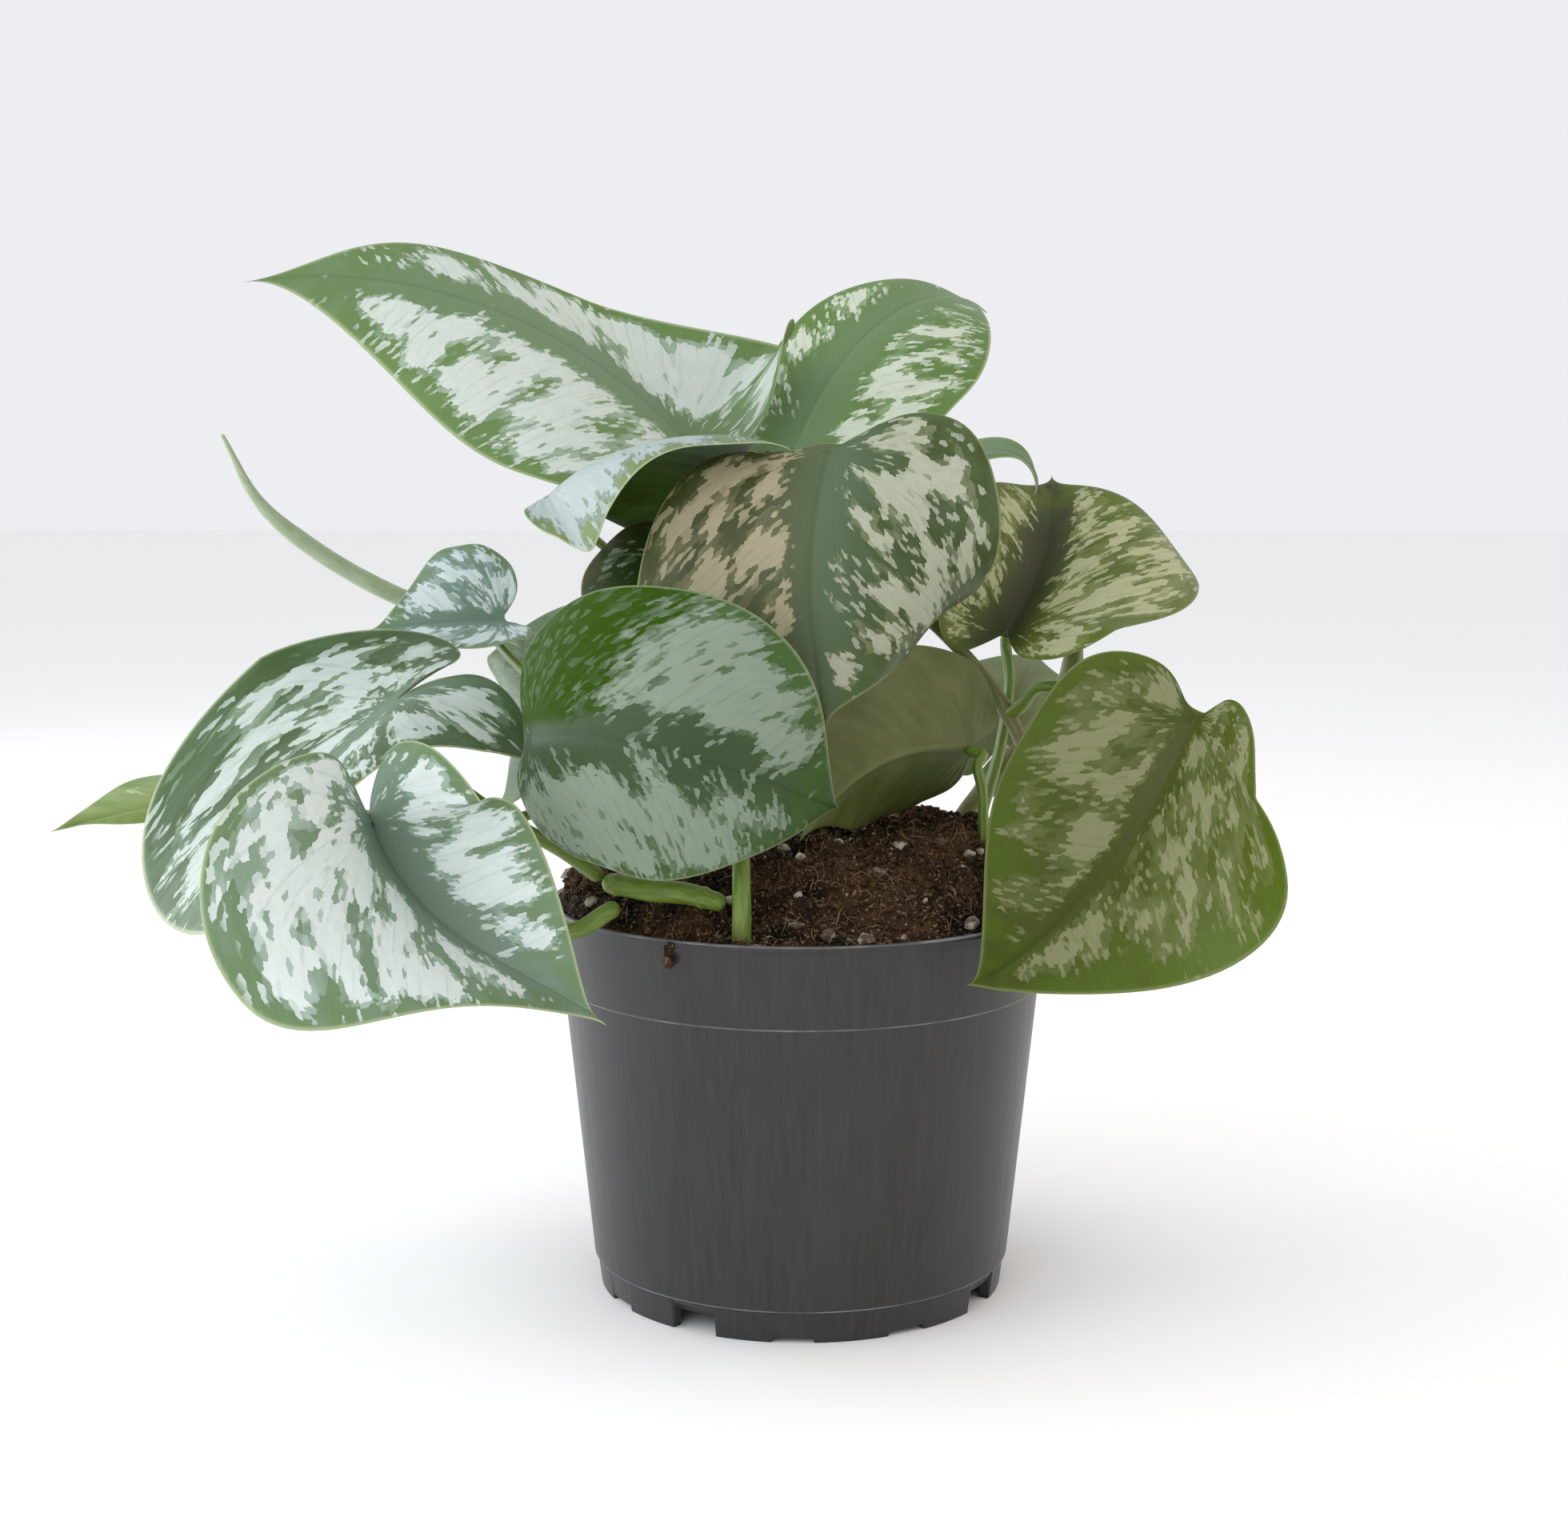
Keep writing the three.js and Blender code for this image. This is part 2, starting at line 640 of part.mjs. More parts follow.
function leafBlade(leaf) {
  const axes = leafAxes(leaf.aim);
  const outline = leafOutline(leaf.blade);
  const spokes = outline.length;
  const middle = [];
  const place = (s, t, reach, angle) => {
    const point = bentPoint(leaf, axes, s, t, reach, angle);
    const spot = fromRim([leaf.base[0] + point.x, leaf.base[1] + point.y, leaf.base[2] + point.z]);
    middle.push(spot.x, spot.y, spot.z);
  };
  place(0, 0, 0, 0);
  for (let ring = 1; ring <= LEAF_RINGS; ring += 1) {
    const reach = ring / LEAF_RINGS;
    outline.forEach((p, i) => place(p.x * reach, p.y * reach, reach, (360 * i) / spokes));
  }
  const upper = bladeTriangles(spokes);
  const sheet = new THREE.BufferGeometry();
  sheet.setAttribute("position", new THREE.Float32BufferAttribute(middle, 3));
  sheet.setIndex(upper);
  sheet.computeVertexNormals();
  const normals = sheet.getAttribute("normal").array;
  const offset = (side) => middle.map((value, i) => value + (side * normals[i] * LEAF_THICKNESS) / 2);
  const count = middle.length / 3;
  const index = [...upper];
  for (let i = 0; i < upper.length; i += 3) {
    index.push(upper[i] + count, upper[i + 2] + count, upper[i + 1] + count);
  }
  const edge = count - spokes;
  for (let i = 0; i < spokes; i += 1) {
    const here = edge + i;
    const next = edge + ((i + 1) % spokes);
    index.push(here, here + count, next + count, here, next + count, next);
  }
  const geometry = new THREE.BufferGeometry();
  geometry.setAttribute("position", new THREE.Float32BufferAttribute([...offset(1), ...offset(-1)], 3));
  geometry.setIndex(index);
  geometry.computeVertexNormals();
  return geometry;
}

// ---- Stalks and stems: a lathe turned to the radii, then bent along a curve
function bentTube(points, radii, steps) {
  const curve = new THREE.CatmullRomCurve3(points, false, "centripetal");
  const length = curve.getLength();
  const profile = [new THREE.Vector2(0, 0)];
  for (let step = 0; step <= steps; step += 1) {
    const share = (step / steps) * (radii.length - 1);
    const from = Math.min(Math.floor(share), radii.length - 2);
    const radius = THREE.MathUtils.lerp(radii[from], radii[from + 1], share - from);
    profile.push(new THREE.Vector2(radius, (length * step) / steps));
  }
  profile.push(new THREE.Vector2(0, length));
  const tube = new THREE.LatheGeometry(profile, TUBE_SIDES);
  const frames = curve.computeFrenetFrames(steps, false);
  const position = tube.getAttribute("position");
  for (let i = 0; i < position.count; i += 1) {
    const share = THREE.MathUtils.clamp(position.getY(i) / length, 0, 1);
    const step = Math.round(share * steps);
    const spot = curve.getPointAt(share);
    spot.addScaledVector(frames.normals[step], position.getX(i));
    spot.addScaledVector(frames.binormals[step], -position.getZ(i));
    position.setXYZ(i, spot.x, spot.y, spot.z);
  }
  tube.computeVertexNormals();
  return tube;
}

// Starts in the compost, straight down, so that its socket is a plain cylinder.
function rootedPoints(points) {
  const [foot, ...rest] = points.map(fromRim);
  const top = soilHeight(foot.x, foot.y);
  return [
    new THREE.Vector3(foot.x, foot.y, top - SOCKET_DEPTH),
    new THREE.Vector3(foot.x, foot.y, top + CLEARANCE),
    ...rest.filter((point) => point.z > top + ABOVE_SOIL),
  ];
}

// The hole in the compost round a stem's foot, a little wider at its mouth.
function socket([foot, top], radius) {
  const radii = [radius + SOCKET_CLEARANCE, radius + SOCKET_MOUTH];
  return rod(foot.x, foot.y, foot.z - CLEARANCE, top.z + SOCKET_DEPTH, radii, SOCKET_SIDES);
}

// The stalk meets the blade's underside square on, short of it by the gap and by any droop of a half.
function leafEnd(leafName, radius) {
  const leaf = LEAVES.find((each) => each.name === leafName);
  const { up } = leafAxes(leaf.aim);
  const droop = Math.max(0, ...leaf.folds.map((fold) => -fold));
  const gap = LEAF_THICKNESS / 2 + JOIN_GAP + radius * Math.tan(degToRad(droop));
  const joint = fromRim(leaf.base);
  return [gap + STRAIGHT_END, gap].map((distance) => joint.clone().addScaledVector(up, -distance));
}

// A branch starts square to its stem, clear of the stem's surface.
function branchStart(stem, share, stemRadius, towards) {
  const curve = new THREE.CatmullRomCurve3(stem, false, "centripetal");
  const spot = curve.getPointAt(share);
  const tangent = curve.getTangentAt(share);
  const away = towards.clone().sub(spot);
  away.addScaledVector(tangent, -away.dot(tangent)).normalize();
  const gap = stemRadius + JOIN_GAP;
  return [gap, gap + STRAIGHT_END].map((distance) => spot.clone().addScaledVector(away, distance));
}

const sockets = [];
const stemPoints = {};
for (const { name, radii, points } of STEMS) {
  const path = rootedPoints(points);
  stemPoints[name] = { path, radius: Math.max(...radii) };
  sockets.push(socket(path, radii[0]));
  add(name, bentTube(path, radii, STEM_STEPS), STEM_FINISH);
}
for (const { leaf, radii, points } of ROOTED_STALKS) {
  const path = [...rootedPoints(points), ...leafEnd(leaf, radii[1])];
  sockets.push(socket(path, radii[0]));
  add(`stalk_${leaf}`, bentTube(path, radii, STALK_STEPS), STALK_FINISH);
}
for (const { leaf, stem, share, radii, points } of BRANCH_STALKS) {
  const { path: stemPath, radius } = stemPoints[stem];
  const middle = points.map(fromRim);
  const path = [...branchStart(stemPath, share, radius, middle[0]), ...middle, ...leafEnd(leaf, radii[1])];
  add(`stalk_${leaf}`, bentTube(path, radii, STALK_STEPS), STALK_FINISH);
}
for (const { leaf, radii, points } of CREEPER_STALKS) {
  const path = [...points.map(fromRim), ...leafEnd(leaf, radii[1])];
  add(`stalk_${leaf}`, bentTube(path, radii, STALK_STEPS), STALK_FINISH);
}
add(CREEPER.name, bentTube(CREEPER.points.map(fromRim), CREEPER.radii, CREEPER_STEPS), STALK_FINISH);
add(
  ROLLED_LEAF.name,
  bentTube(ROLLED_LEAF.points.map(fromRim), ROLLED_LEAF.radii, STALK_STEPS),
  LEAF_FINISH,
);
for (const leaf of LEAVES) add(`leaf_${leaf.name}`, leafBlade(leaf), LEAF_FINISH);
add("potting_soil", soil(sockets), SOIL_FINISH);
add("nursery_pot", pot(), POT_FINISH);

export default plant;
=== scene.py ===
"""Looks of a silver-leaved trailing plant in its nursery pot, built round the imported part.

Sizes in the tables are millimetres and degrees, measured as the part's own frame has them: +Z up,
the front towards -Y, the pot standing on z = 0. Meshes are written in metres.
"""

from __future__ import annotations

import logging
from dataclasses import dataclass, replace
from enum import Enum

import bpy
import numpy as np

from mathutils import Matrix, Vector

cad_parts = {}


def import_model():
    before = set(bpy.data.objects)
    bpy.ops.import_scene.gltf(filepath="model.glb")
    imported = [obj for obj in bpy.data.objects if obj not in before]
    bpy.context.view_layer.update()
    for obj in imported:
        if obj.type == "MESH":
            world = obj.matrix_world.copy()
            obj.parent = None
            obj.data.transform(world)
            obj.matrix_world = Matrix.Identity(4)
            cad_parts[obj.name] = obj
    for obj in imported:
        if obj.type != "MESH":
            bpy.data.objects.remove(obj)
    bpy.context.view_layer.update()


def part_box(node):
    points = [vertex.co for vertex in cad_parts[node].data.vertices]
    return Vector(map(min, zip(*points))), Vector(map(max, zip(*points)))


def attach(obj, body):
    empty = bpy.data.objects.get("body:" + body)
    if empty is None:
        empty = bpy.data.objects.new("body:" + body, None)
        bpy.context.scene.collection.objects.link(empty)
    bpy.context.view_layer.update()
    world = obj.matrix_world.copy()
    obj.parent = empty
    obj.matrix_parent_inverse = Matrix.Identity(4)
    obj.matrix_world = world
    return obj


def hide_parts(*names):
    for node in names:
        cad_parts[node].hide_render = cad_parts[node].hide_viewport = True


LOG = logging.getLogger("potted_plant")
MM = 0.001
UP = np.array([0.0, 0.0, 1.0])

Array = np.ndarray
Tree = bpy.types.NodeTree
Socket = bpy.types.NodeSocket
Node = bpy.types.Node
Material = bpy.types.Material
Piece = bpy.types.Object


# ---- Numbers to shapes


def unit(vectors: Array) -> Array:
    """Scale vectors to length one along their last axis."""
    length = np.linalg.norm(vectors, axis=-1, keepdims=True)
    return vectors / np.maximum(length, 1e-12)


def smoothstep(low: float, high: float, value: Array) -> Array:
    """Rise from 0 at low to 1 at high as 3u^2 - 2u^3, u the clamped share between them."""
    share = np.clip((value - low) / (high - low), 0.0, 1.0)
    return share * share * (3.0 - 2.0 * share)


def lumps(points: Array, size: float, seed: int, waves: int = 28) -> Array:
    """Smooth random height about 0, with lumps about `size` across.

    The value is the sum of `waves` sine waves in random directions and phases, scaled to a spread
    of about one: sqrt(2 / waves) * sum(sin(2 pi k . p / size + phase)).

    Args:
        points: Places, (..., 3), in the unit that size is in.
        size: The distance from crest to crest.
        seed: Chooses the directions and phases.
        waves: How many waves are summed.

    Returns:
        One value for each point.
    """
    rng = np.random.default_rng(seed)
    directions = unit(rng.normal(size=(waves, 3))) * rng.uniform(0.6, 1.5, (waves, 1))
    phases = rng.uniform(0.0, 2.0 * np.pi, waves)
    return np.sin(points @ directions.T * (2.0 * np.pi / size) + phases).sum(-1) * np.sqrt(2.0 / waves)


def smooth_path(points: Array, steps: int, fine: int = 40) -> Array:
    """Even stations along a centripetal Catmull-Rom curve.

    Knots are spaced by the square root of the chord. Each span is the cubic Hermite curve between
    its ends, with the tangent (p1-p0)/d0 - (p2-p0)/(d0+d1) + (p2-p1)/d1 at p1, and the ends
    continued straight.

    Args:
        points: The points that the curve passes, (n, 3).
        steps: How many equal steps the curve is cut into.
        fine: Samples on each span before it is cut evenly.

    Returns:
        steps + 1 points.
    """
    held = np.vstack([2 * points[0] - points[1], points, 2 * points[-1] - points[-2]])
    gaps = np.sqrt(np.linalg.norm(np.diff(held, axis=0), axis=1))[:, None]
    slopes = np.diff(held, axis=0) / gaps
    tangents = slopes[:-1] - (held[2:] - held[:-2]) / (gaps[:-1] + gaps[1:]) + slopes[1:]
    u = np.linspace(0.0, 1.0, fine, endpoint=False)[None, :, None]
    start, end = points[:-1, None], points[1:, None]
    span = gaps[1:-1, None]
    curve = (
        (2 * u**3 - 3 * u**2 + 1) * start
        + (u**3 - 2 * u**2 + u) * tangents[:-1, None] * span
        + (3 * u**2 - 2 * u**3) * end
        + (u**3 - u**2) * tangents[1:, None] * span
    )
    curve = np.vstack([curve.reshape(-1, 3), points[-1:]])
    run = np.concatenate([[0.0], np.cumsum(np.linalg.norm(np.diff(curve, axis=0), axis=1))])
    even = np.linspace(0.0, run[-1], steps + 1)
    return np.stack([np.interp(even, run, curve[:, axis]) for axis in range(3)], axis=1)


def grid_quads(rows: int, columns: int, first: int = 0, closed: bool = True) -> Array:
    """Four-sided faces between the rows of a grid of vertices, row by row.

    Args:
        rows: Rows of vertices.
        columns: Vertices in a row.
        first: Index of the first vertex.
        closed: Whether the last column joins the first one.

    Returns:
        (faces, 4) vertex indices, turning from a row's next column to the next row.
    """
    column = np.arange(columns if closed else columns - 1)
    row = np.arange(rows - 1)[:, None] * columns
    here = first + row + column
    beside = first + row + (column + 1) % columns
    return np.stack([here, beside, beside + columns, here + columns], axis=-1).reshape(-1, 4)


def fan(centre: int, ring: Array, outwards: bool = True) -> Array:
    """Triangles from one vertex to a closed ring of vertices.

    Args:
        centre: Index of the vertex.
        ring: Indices of the ring.
        outwards: Whether they turn with the ring.

    Returns:
        (n, 3) vertex indices.
    """
    following = np.roll(ring, -1)
    middle = np.full_like(ring, centre)
    pair = (ring, following) if outwards else (following, ring)
    return np.stack([middle, *pair], axis=-1)


def end_fans(rows: int, columns: int) -> Array:
    """Close a grid's first and last row on to its two poles, the vertices after the grid's own."""
    ring = np.arange(columns)
    return np.vstack([fan(rows * columns, ring, False), fan(rows * columns + 1, ring + (rows - 1) * columns)])


def vertex_normals(vertices: Array, quads: Array) -> Array:
    """Unit normals of a sheet's vertices: the sum of its faces' half cross products of diagonals.

    Args:
        vertices: (n, 3) places.
        quads: The faces, (m, 4).

    Returns:
        (n, 3) unit vectors.
    """
    corners = vertices[quads]
    facing = np.cross(corners[:, 2] - corners[:, 0], corners[:, 3] - corners[:, 1])
    total = np.zeros_like(vertices)
    for corner in range(4):
        np.add.at(total, quads[:, corner], facing)
    return unit(total)


def write_mesh(
    name: str, vertices: Array, faces: list[Array], materials: list[Material]
) -> Piece:
    """Put arrays into a smooth mesh object at the origin.

    Args:
        name: The object's name.
        vertices: (n, 3) in millimetres.
        faces: Arrays of faces, each with its own count of corners; array i takes material i, or
            the last one.
        materials: The materials, in order.

    Returns:
        The new object, linked to the scene.
    """
    corners = np.concatenate([each.ravel() for each in faces]).astype(np.int32)
    sizes = np.concatenate([np.full(len(each), each.shape[1]) for each in faces])
    starts = np.concatenate([[0], np.cumsum(sizes)[:-1]]).astype(np.int32)
    slots = np.concatenate([np.full(len(each), min(i, len(materials) - 1)) for i, each in enumerate(faces)])
    mesh = bpy.data.meshes.new(name)
    mesh.vertices.add(len(vertices))
    mesh.vertices.foreach_set("co", (vertices * MM).astype(np.float32).ravel())
    mesh.loops.add(len(corners))
    mesh.loops.foreach_set("vertex_index", corners)
    mesh.polygons.add(len(sizes))
    mesh.polygons.foreach_set("loop_start", starts)
    for material in materials:
        mesh.materials.append(material)
    mesh.polygons.foreach_set("material_index", slots.astype(np.int32))
    mesh.polygons.foreach_set("use_smooth", np.ones(len(sizes), bool))
    mesh.update(calc_edges=True)
    piece = bpy.data.objects.new(name, mesh)
    bpy.context.scene.collection.objects.link(piece)
    return piece


def add_vectors(piece: Piece, name: str, values: Array) -> None:
    """Store one vector for each vertex of a piece, for its material to read."""
    attribute = piece.data.attributes.new(name, "FLOAT_VECTOR", "POINT")
    attribute.data.foreach_set("vector", values.astype(np.float32).ravel())


# ---- Materials


def srgb(code: str) -> tuple[float, float, float, float]:
    """Turn an sRGB hex colour such as "5b5d5e" into linear RGBA.

    Args:
        code: Six hex digits.

    Returns:
        Linear red, green, blue and an alpha of 1.
    """
    values = np.array([int(code[i : i + 2], 16) for i in (0, 2, 4)]) / 255.0
    linear = np.where(values <= 0.04045, values / 12.92, ((values + 0.055) / 1.055) ** 2.4)
    return (*linear.tolist(), 1.0)


def add_node(
    tree: Tree, kind: str, settings: dict | None = None, inputs: dict | None = None
) -> Node:
    """Add a shader node.

    Args:
        tree: The material's node tree.
        kind: The node's type name.
        settings: Properties to set on the node.
        inputs: Sockets by name or number; a value is a socket to link from or a constant.

    Returns:
        The node.
    """
    node = tree.nodes.new(kind)
    for key, value in (settings or {}).items():
        setattr(node, key, value)
    for key, value in (inputs or {}).items():
        if isinstance(value, Socket):
            tree.links.new(value, node.inputs[key])
        else:
            node.inputs[key].default_value = value
    return node


class Blend(Enum):
    """How one colour is laid on another."""

    OVER = "MIX"
    MULTIPLY = "MULTIPLY"


@dataclass(frozen=True)
class Finish:
    """A surface finish. A subclass fills in paint(), which wires colour, roughness and bump.

    Fields:
        title: The real material and how its surface was made.
        ior: Index of refraction.
    """

    title: str = "surface"
    ior: float = 1.45

    def material(self) -> Material:
        """Make the material: a Principled shader whose sockets paint() wires.

        Returns:
            The material.
        """
        made = bpy.data.materials.new(self.title)
        made.use_nodes = True
        tree = made.node_tree
        tree.nodes.clear()
        shader = add_node(tree, "ShaderNodeBsdfPrincipled", inputs={"IOR": self.ior})
        add_node(tree, "ShaderNodeOutputMaterial", inputs={"Surface": shader.outputs[0]})
        self.paint(tree, shader)
        return made

    def paint(self, tree: Tree, shader: Node) -> None:
        """Wire the finish into the shader."""
        raise NotImplementedError

    @staticmethod
    def sum(tree: Tree, operation: str, *values: object, clamp: bool = False) -> Socket:
        """One arithmetic step on sockets or numbers.

        Args:
            tree: The material's node tree.
            operation: The Math node's operation.
            values: Its inputs in order.
            clamp: Whether to keep it in 0..1.

        Returns:
            The result.
        """
        inputs = dict(enumerate(values))
        return add_node(
            tree, "ShaderNodeMath", {"operation": operation, "use_clamp": clamp}, inputs,
        ).outputs[0]

    @staticmethod
    def colours(
        tree: Tree, share: object, under: object, over: object, how: Blend = Blend.OVER
    ) -> Socket:
        """Lay one colour on another by a share."""
        settings = {"data_type": "RGBA", "blend_type": how.value}
        return add_node(tree, "ShaderNodeMix", settings, {0: share, 6: under, 7: over}).outputs[2]

    @staticmethod
    def ramp(
        tree: Tree, value: object, low: object, high: object, to: tuple[float, float] = (0.0, 1.0)
    ) -> Socket:
        """Turn low..high into to[0]..to[1] with a soft start and end."""
        inputs = {"Value": value, "From Min": low, "From Max": high, "To Min": to[0], "To Max": to[1]}
        return add_node(tree, "ShaderNodeMapRange", {"interpolation_type": "SMOOTHSTEP"}, inputs).outputs[0]

    @staticmethod
    def place(tree: Tree, scale: tuple[float, float, float] = (1.0, 1.0, 1.0)) -> Socket:
        """The surface's place in millimetres, stretched along the axes by scale.

        Args:
            tree: The material's node tree.
            scale: How much the pattern is squeezed along each axis.

        Returns:
            The place.
        """
        source = add_node(tree, "ShaderNodeTexCoord").outputs["Object"]
        size = tuple(each / MM for each in scale)
        return add_node(tree, "ShaderNodeMapping", inputs={"Vector": source, "Scale": size}).outputs[0]

    @staticmethod
    def noise(
        tree: Tree, place: Socket, size: float, detail: float = 3.0, rough: float = 0.55
    ) -> Socket:
        """Noise whose blotches are about `size` millimetres across, 0..1."""
        inputs = {"Vector": place, "Scale": 1.0 / size, "Detail": detail, "Roughness": rough}
        return add_node(tree, "ShaderNodeTexNoise", None, inputs).outputs["Fac"]

    @staticmethod
    def relief(
        tree: Tree, shader: Node, height: Socket, depth: float, strength: float
    ) -> None:
        """Drive the shader's normal from a height of 0..1 that stands for `depth` millimetres.

        Args:
            tree: The material's node tree.
            shader: Its Principled shader.
            height: The height.
            depth: What a height of 1 stands for, in mm.
            strength: How much of it shows, 0..1.
        """
        inputs = {"Height": height, "Distance": depth * MM, "Strength": strength}
        bump = add_node(tree, "ShaderNodeBump", None, inputs)
        tree.links.new(bump.outputs[0], shader.inputs["Normal"])


@dataclass(frozen=True)
class MouldedPolypropylene(Finish):
    """Injection-moulded polypropylene with a matte mould: flow lines run up the wall as faint
    streaks, and the satin skin gives broad soft highlights.

    Fields:
        grey: Body colour.
        streak: Colour of the paler flow lines.
        edge_highlight: Colour of the painted highlight that each moulded edge catches.
        streak_width: Width of a flow line round the wall, in mm.
        edges, edge_width: Heights of the moulded edges and half the width of the painted highlight on each,
            in mm.
    """

    title: str = "polypropylene moulded matte"
    ior: float = 1.49
    grey: str = "272625"
    streak: str = "363636"
    edge_highlight: str = "8b8d8f"
    streak_width: float = 1.6
    edges: tuple[float, float, float] = (7.6, 73.9, 92.9)
    edge_width: float = 0.3

    def paint(self, tree: Tree, shader: Node) -> None:
        """Streaks stretched forty to one along Z over a fine mould grain, and a painted highlight as
        a pale broken line on each moulded edge.

        Args:
            tree: The material's node tree.
            shader: Its Principled shader.
        """
        streaks = self.noise(tree, self.place(tree, (1.0, 1.0, 0.025)), self.streak_width, 3.0, 0.6)
        clouds = self.noise(tree, self.place(tree, (1.0, 1.0, 0.3)), 30.0, 2.0)
        body = self.colours(
            tree, self.ramp(tree, streaks, 0.3, 0.8, (0.0, 0.6)), srgb(self.grey), srgb(self.streak),
        )
        body = self.colours(tree, self.ramp(tree, clouds, 0.4, 0.75, (0.0, 0.35)), body, srgb(self.streak))
        height = add_node(tree, "ShaderNodeSeparateXYZ", inputs={0: self.place(tree)}).outputs[2]
        # Painted highlight: a pale line that each moulded edge catches, broken up by noise.
        highlight_breakup = self.ramp(tree, self.noise(tree, self.place(tree), 9.0, 2.0), 0.3, 0.7, (0.25, 0.75))
        for edge in self.edges:
            away = self.sum(tree, "ABSOLUTE", self.sum(tree, "SUBTRACT", height, edge))
            near = self.ramp(tree, away, self.edge_width, self.edge_width / 3)
            line = self.sum(tree, "MULTIPLY", near, highlight_breakup)
            body = self.colours(tree, line, body, srgb(self.edge_highlight))
        tree.links.new(body, shader.inputs["Base Color"])
        tree.links.new(self.ramp(tree, streaks, 0.3, 0.7, (0.34, 0.42)), shader.inputs["Roughness"])
        shader.inputs["Specular IOR Level"].default_value = 0.42
        grain = self.noise(tree, self.place(tree), 0.35, 2.0)
        ridge = self.sum(tree, "MULTIPLY_ADD", streaks, 0.6, self.sum(tree, "MULTIPLY", grain, 0.4))
        self.relief(tree, shader, ridge, 0.02, 0.4)


@dataclass(frozen=True)
class PeatCompost(Finish):
    """Moist peat: dark brown crumbs with paler dry fibre and a reddish patch where it has dried.

    Fields:
        wet, dry, fibre: Colours of the wet crumb, the dried crumb and the pale fibre.
        crumb: Size of a crumb in mm.
    """

    title: str = "peat compost milled moist"
    ior: float = 1.4
    wet: str = "120b05"
    dry: str = "4a331d"
    fibre: str = "a88a66"
    crumb: float = 0.9

    def paint(self, tree: Tree, shader: Node) -> None:
        """Three sizes of noise choose the colour, and crumbs and grit make the relief.

        Args:
            tree: The material's node tree.
            shader: Its Principled shader.
        """
        place = self.place(tree)
        patch = self.noise(tree, place, 16.0, 3.0)
        crumbs = self.noise(tree, place, self.crumb, 5.0, 0.7)
        base = self.colours(tree, self.ramp(tree, patch, 0.38, 0.62), srgb(self.wet), srgb(self.dry))
        flecked = self.colours(tree, self.ramp(tree, crumbs, 0.55, 0.66), base, srgb(self.fibre))
        tree.links.new(flecked, shader.inputs["Base Color"])
        shader.inputs["Roughness"].default_value = 0.92
        shader.inputs["Specular IOR Level"].default_value = 0.3
        self.relief(tree, shader, crumbs, 0.9, 0.9)


@dataclass(frozen=True)
class ExpandedGrain(Finish):
    """Perlite: a white expanded glass grain, matte and pitted, stained by the peat round it."""

    title: str = "perlite expanded"
    ior: float = 1.5
    white: str = "b4aca0"
    stain: str = "54412e"

    def paint(self, tree: Tree, shader: Node) -> None:
        """Stain in blotches of about 2 mm over white, with pits of half a millimetre.

        Args:
            tree: The material's node tree.
            shader: Its Principled shader.
        """
        place = self.place(tree)
        stain = self.noise(tree, place, 2.6, 3.0)
        colour = self.colours(tree, self.ramp(tree, stain, 0.36, 0.62), srgb(self.white), srgb(self.stain))
        tree.links.new(colour, shader.inputs["Base Color"])
        shader.inputs["Roughness"].default_value = 0.85
        self.relief(tree, shader, self.noise(tree, place, 0.5, 3.0), 0.2, 0.7)


@dataclass(frozen=True)
class RootFibre(Finish):
    """Dead root and moss fibre: matte, brown, paler where it has dried."""

    title: str = "root fibre dried"
    brown: str = "3f2c1c"
    dried: str = "80664a"

    def paint(self, tree: Tree, shader: Node) -> None:
        """Blotches of 5 mm from brown to dried.

        Args:
            tree: The material's node tree.
            shader: Its Principled shader.
        """
        blotch = self.noise(tree, self.place(tree), 5.0, 3.0)
        colour = self.colours(tree, self.ramp(tree, blotch, 0.4, 0.65), srgb(self.brown), srgb(self.dried))
        tree.links.new(colour, shader.inputs["Base Color"])
        shader.inputs["Roughness"].default_value = 0.85
        self.relief(tree, shader, blotch, 0.05, 0.3)


@dataclass(frozen=True)
class GreenSkin(Finish):
    """The waxy skin of a stem or stalk: smooth, a little glossy, streaked along its length.

    Fields:
        green, pale, tan: Body colour, paler streaks, and brown where the skin has aged.
        age: Share of tan, 0..1.
        glow: How much light passes under the skin.
    """

    title: str = "stalk skin waxy"
    ior: float = 1.43
    green: str = "5a7424"
    pale: str = "8a9e4c"
    tan: str = "6c6a34"
    age: float = 0.25
    glow: float = 0.15

    def paint(self, tree: Tree, shader: Node) -> None:
        """Streaks run along the stalk, whose own coordinates are (round, along, 0) in mm.

        Args:
            tree: The material's node tree.
            shader: Its Principled shader.
        """
        own = add_node(tree, "ShaderNodeAttribute", {"attribute_name": "stalk_skin"}).outputs["Vector"]
        place = add_node(
            tree, "ShaderNodeMapping", inputs={"Vector": own, "Scale": (1.0, 0.12, 1.0)},
        ).outputs[0]
        streaks = self.noise(tree, place, 0.9, 3.0)
        blotch = self.noise(tree, self.place(tree), 7.0, 3.0)
        body = self.colours(
            tree, self.ramp(tree, streaks, 0.35, 0.8, (0.0, 0.6)), srgb(self.green), srgb(self.pale),
        )
        aged = self.sum(tree, "MULTIPLY", self.ramp(tree, blotch, 0.42, 0.66), self.age)
        tree.links.new(self.colours(tree, aged, body, srgb(self.tan)), shader.inputs["Base Color"])
        shader.inputs["Roughness"].default_value = 0.38
        shader.inputs["Subsurface Weight"].default_value = self.glow
        shader.inputs["Subsurface Radius"].default_value = (1.0, 1.0, 0.4)
        shader.inputs["Subsurface Scale"].default_value = 1.2 * MM
        self.relief(tree, shader, streaks, 0.03, 0.4)


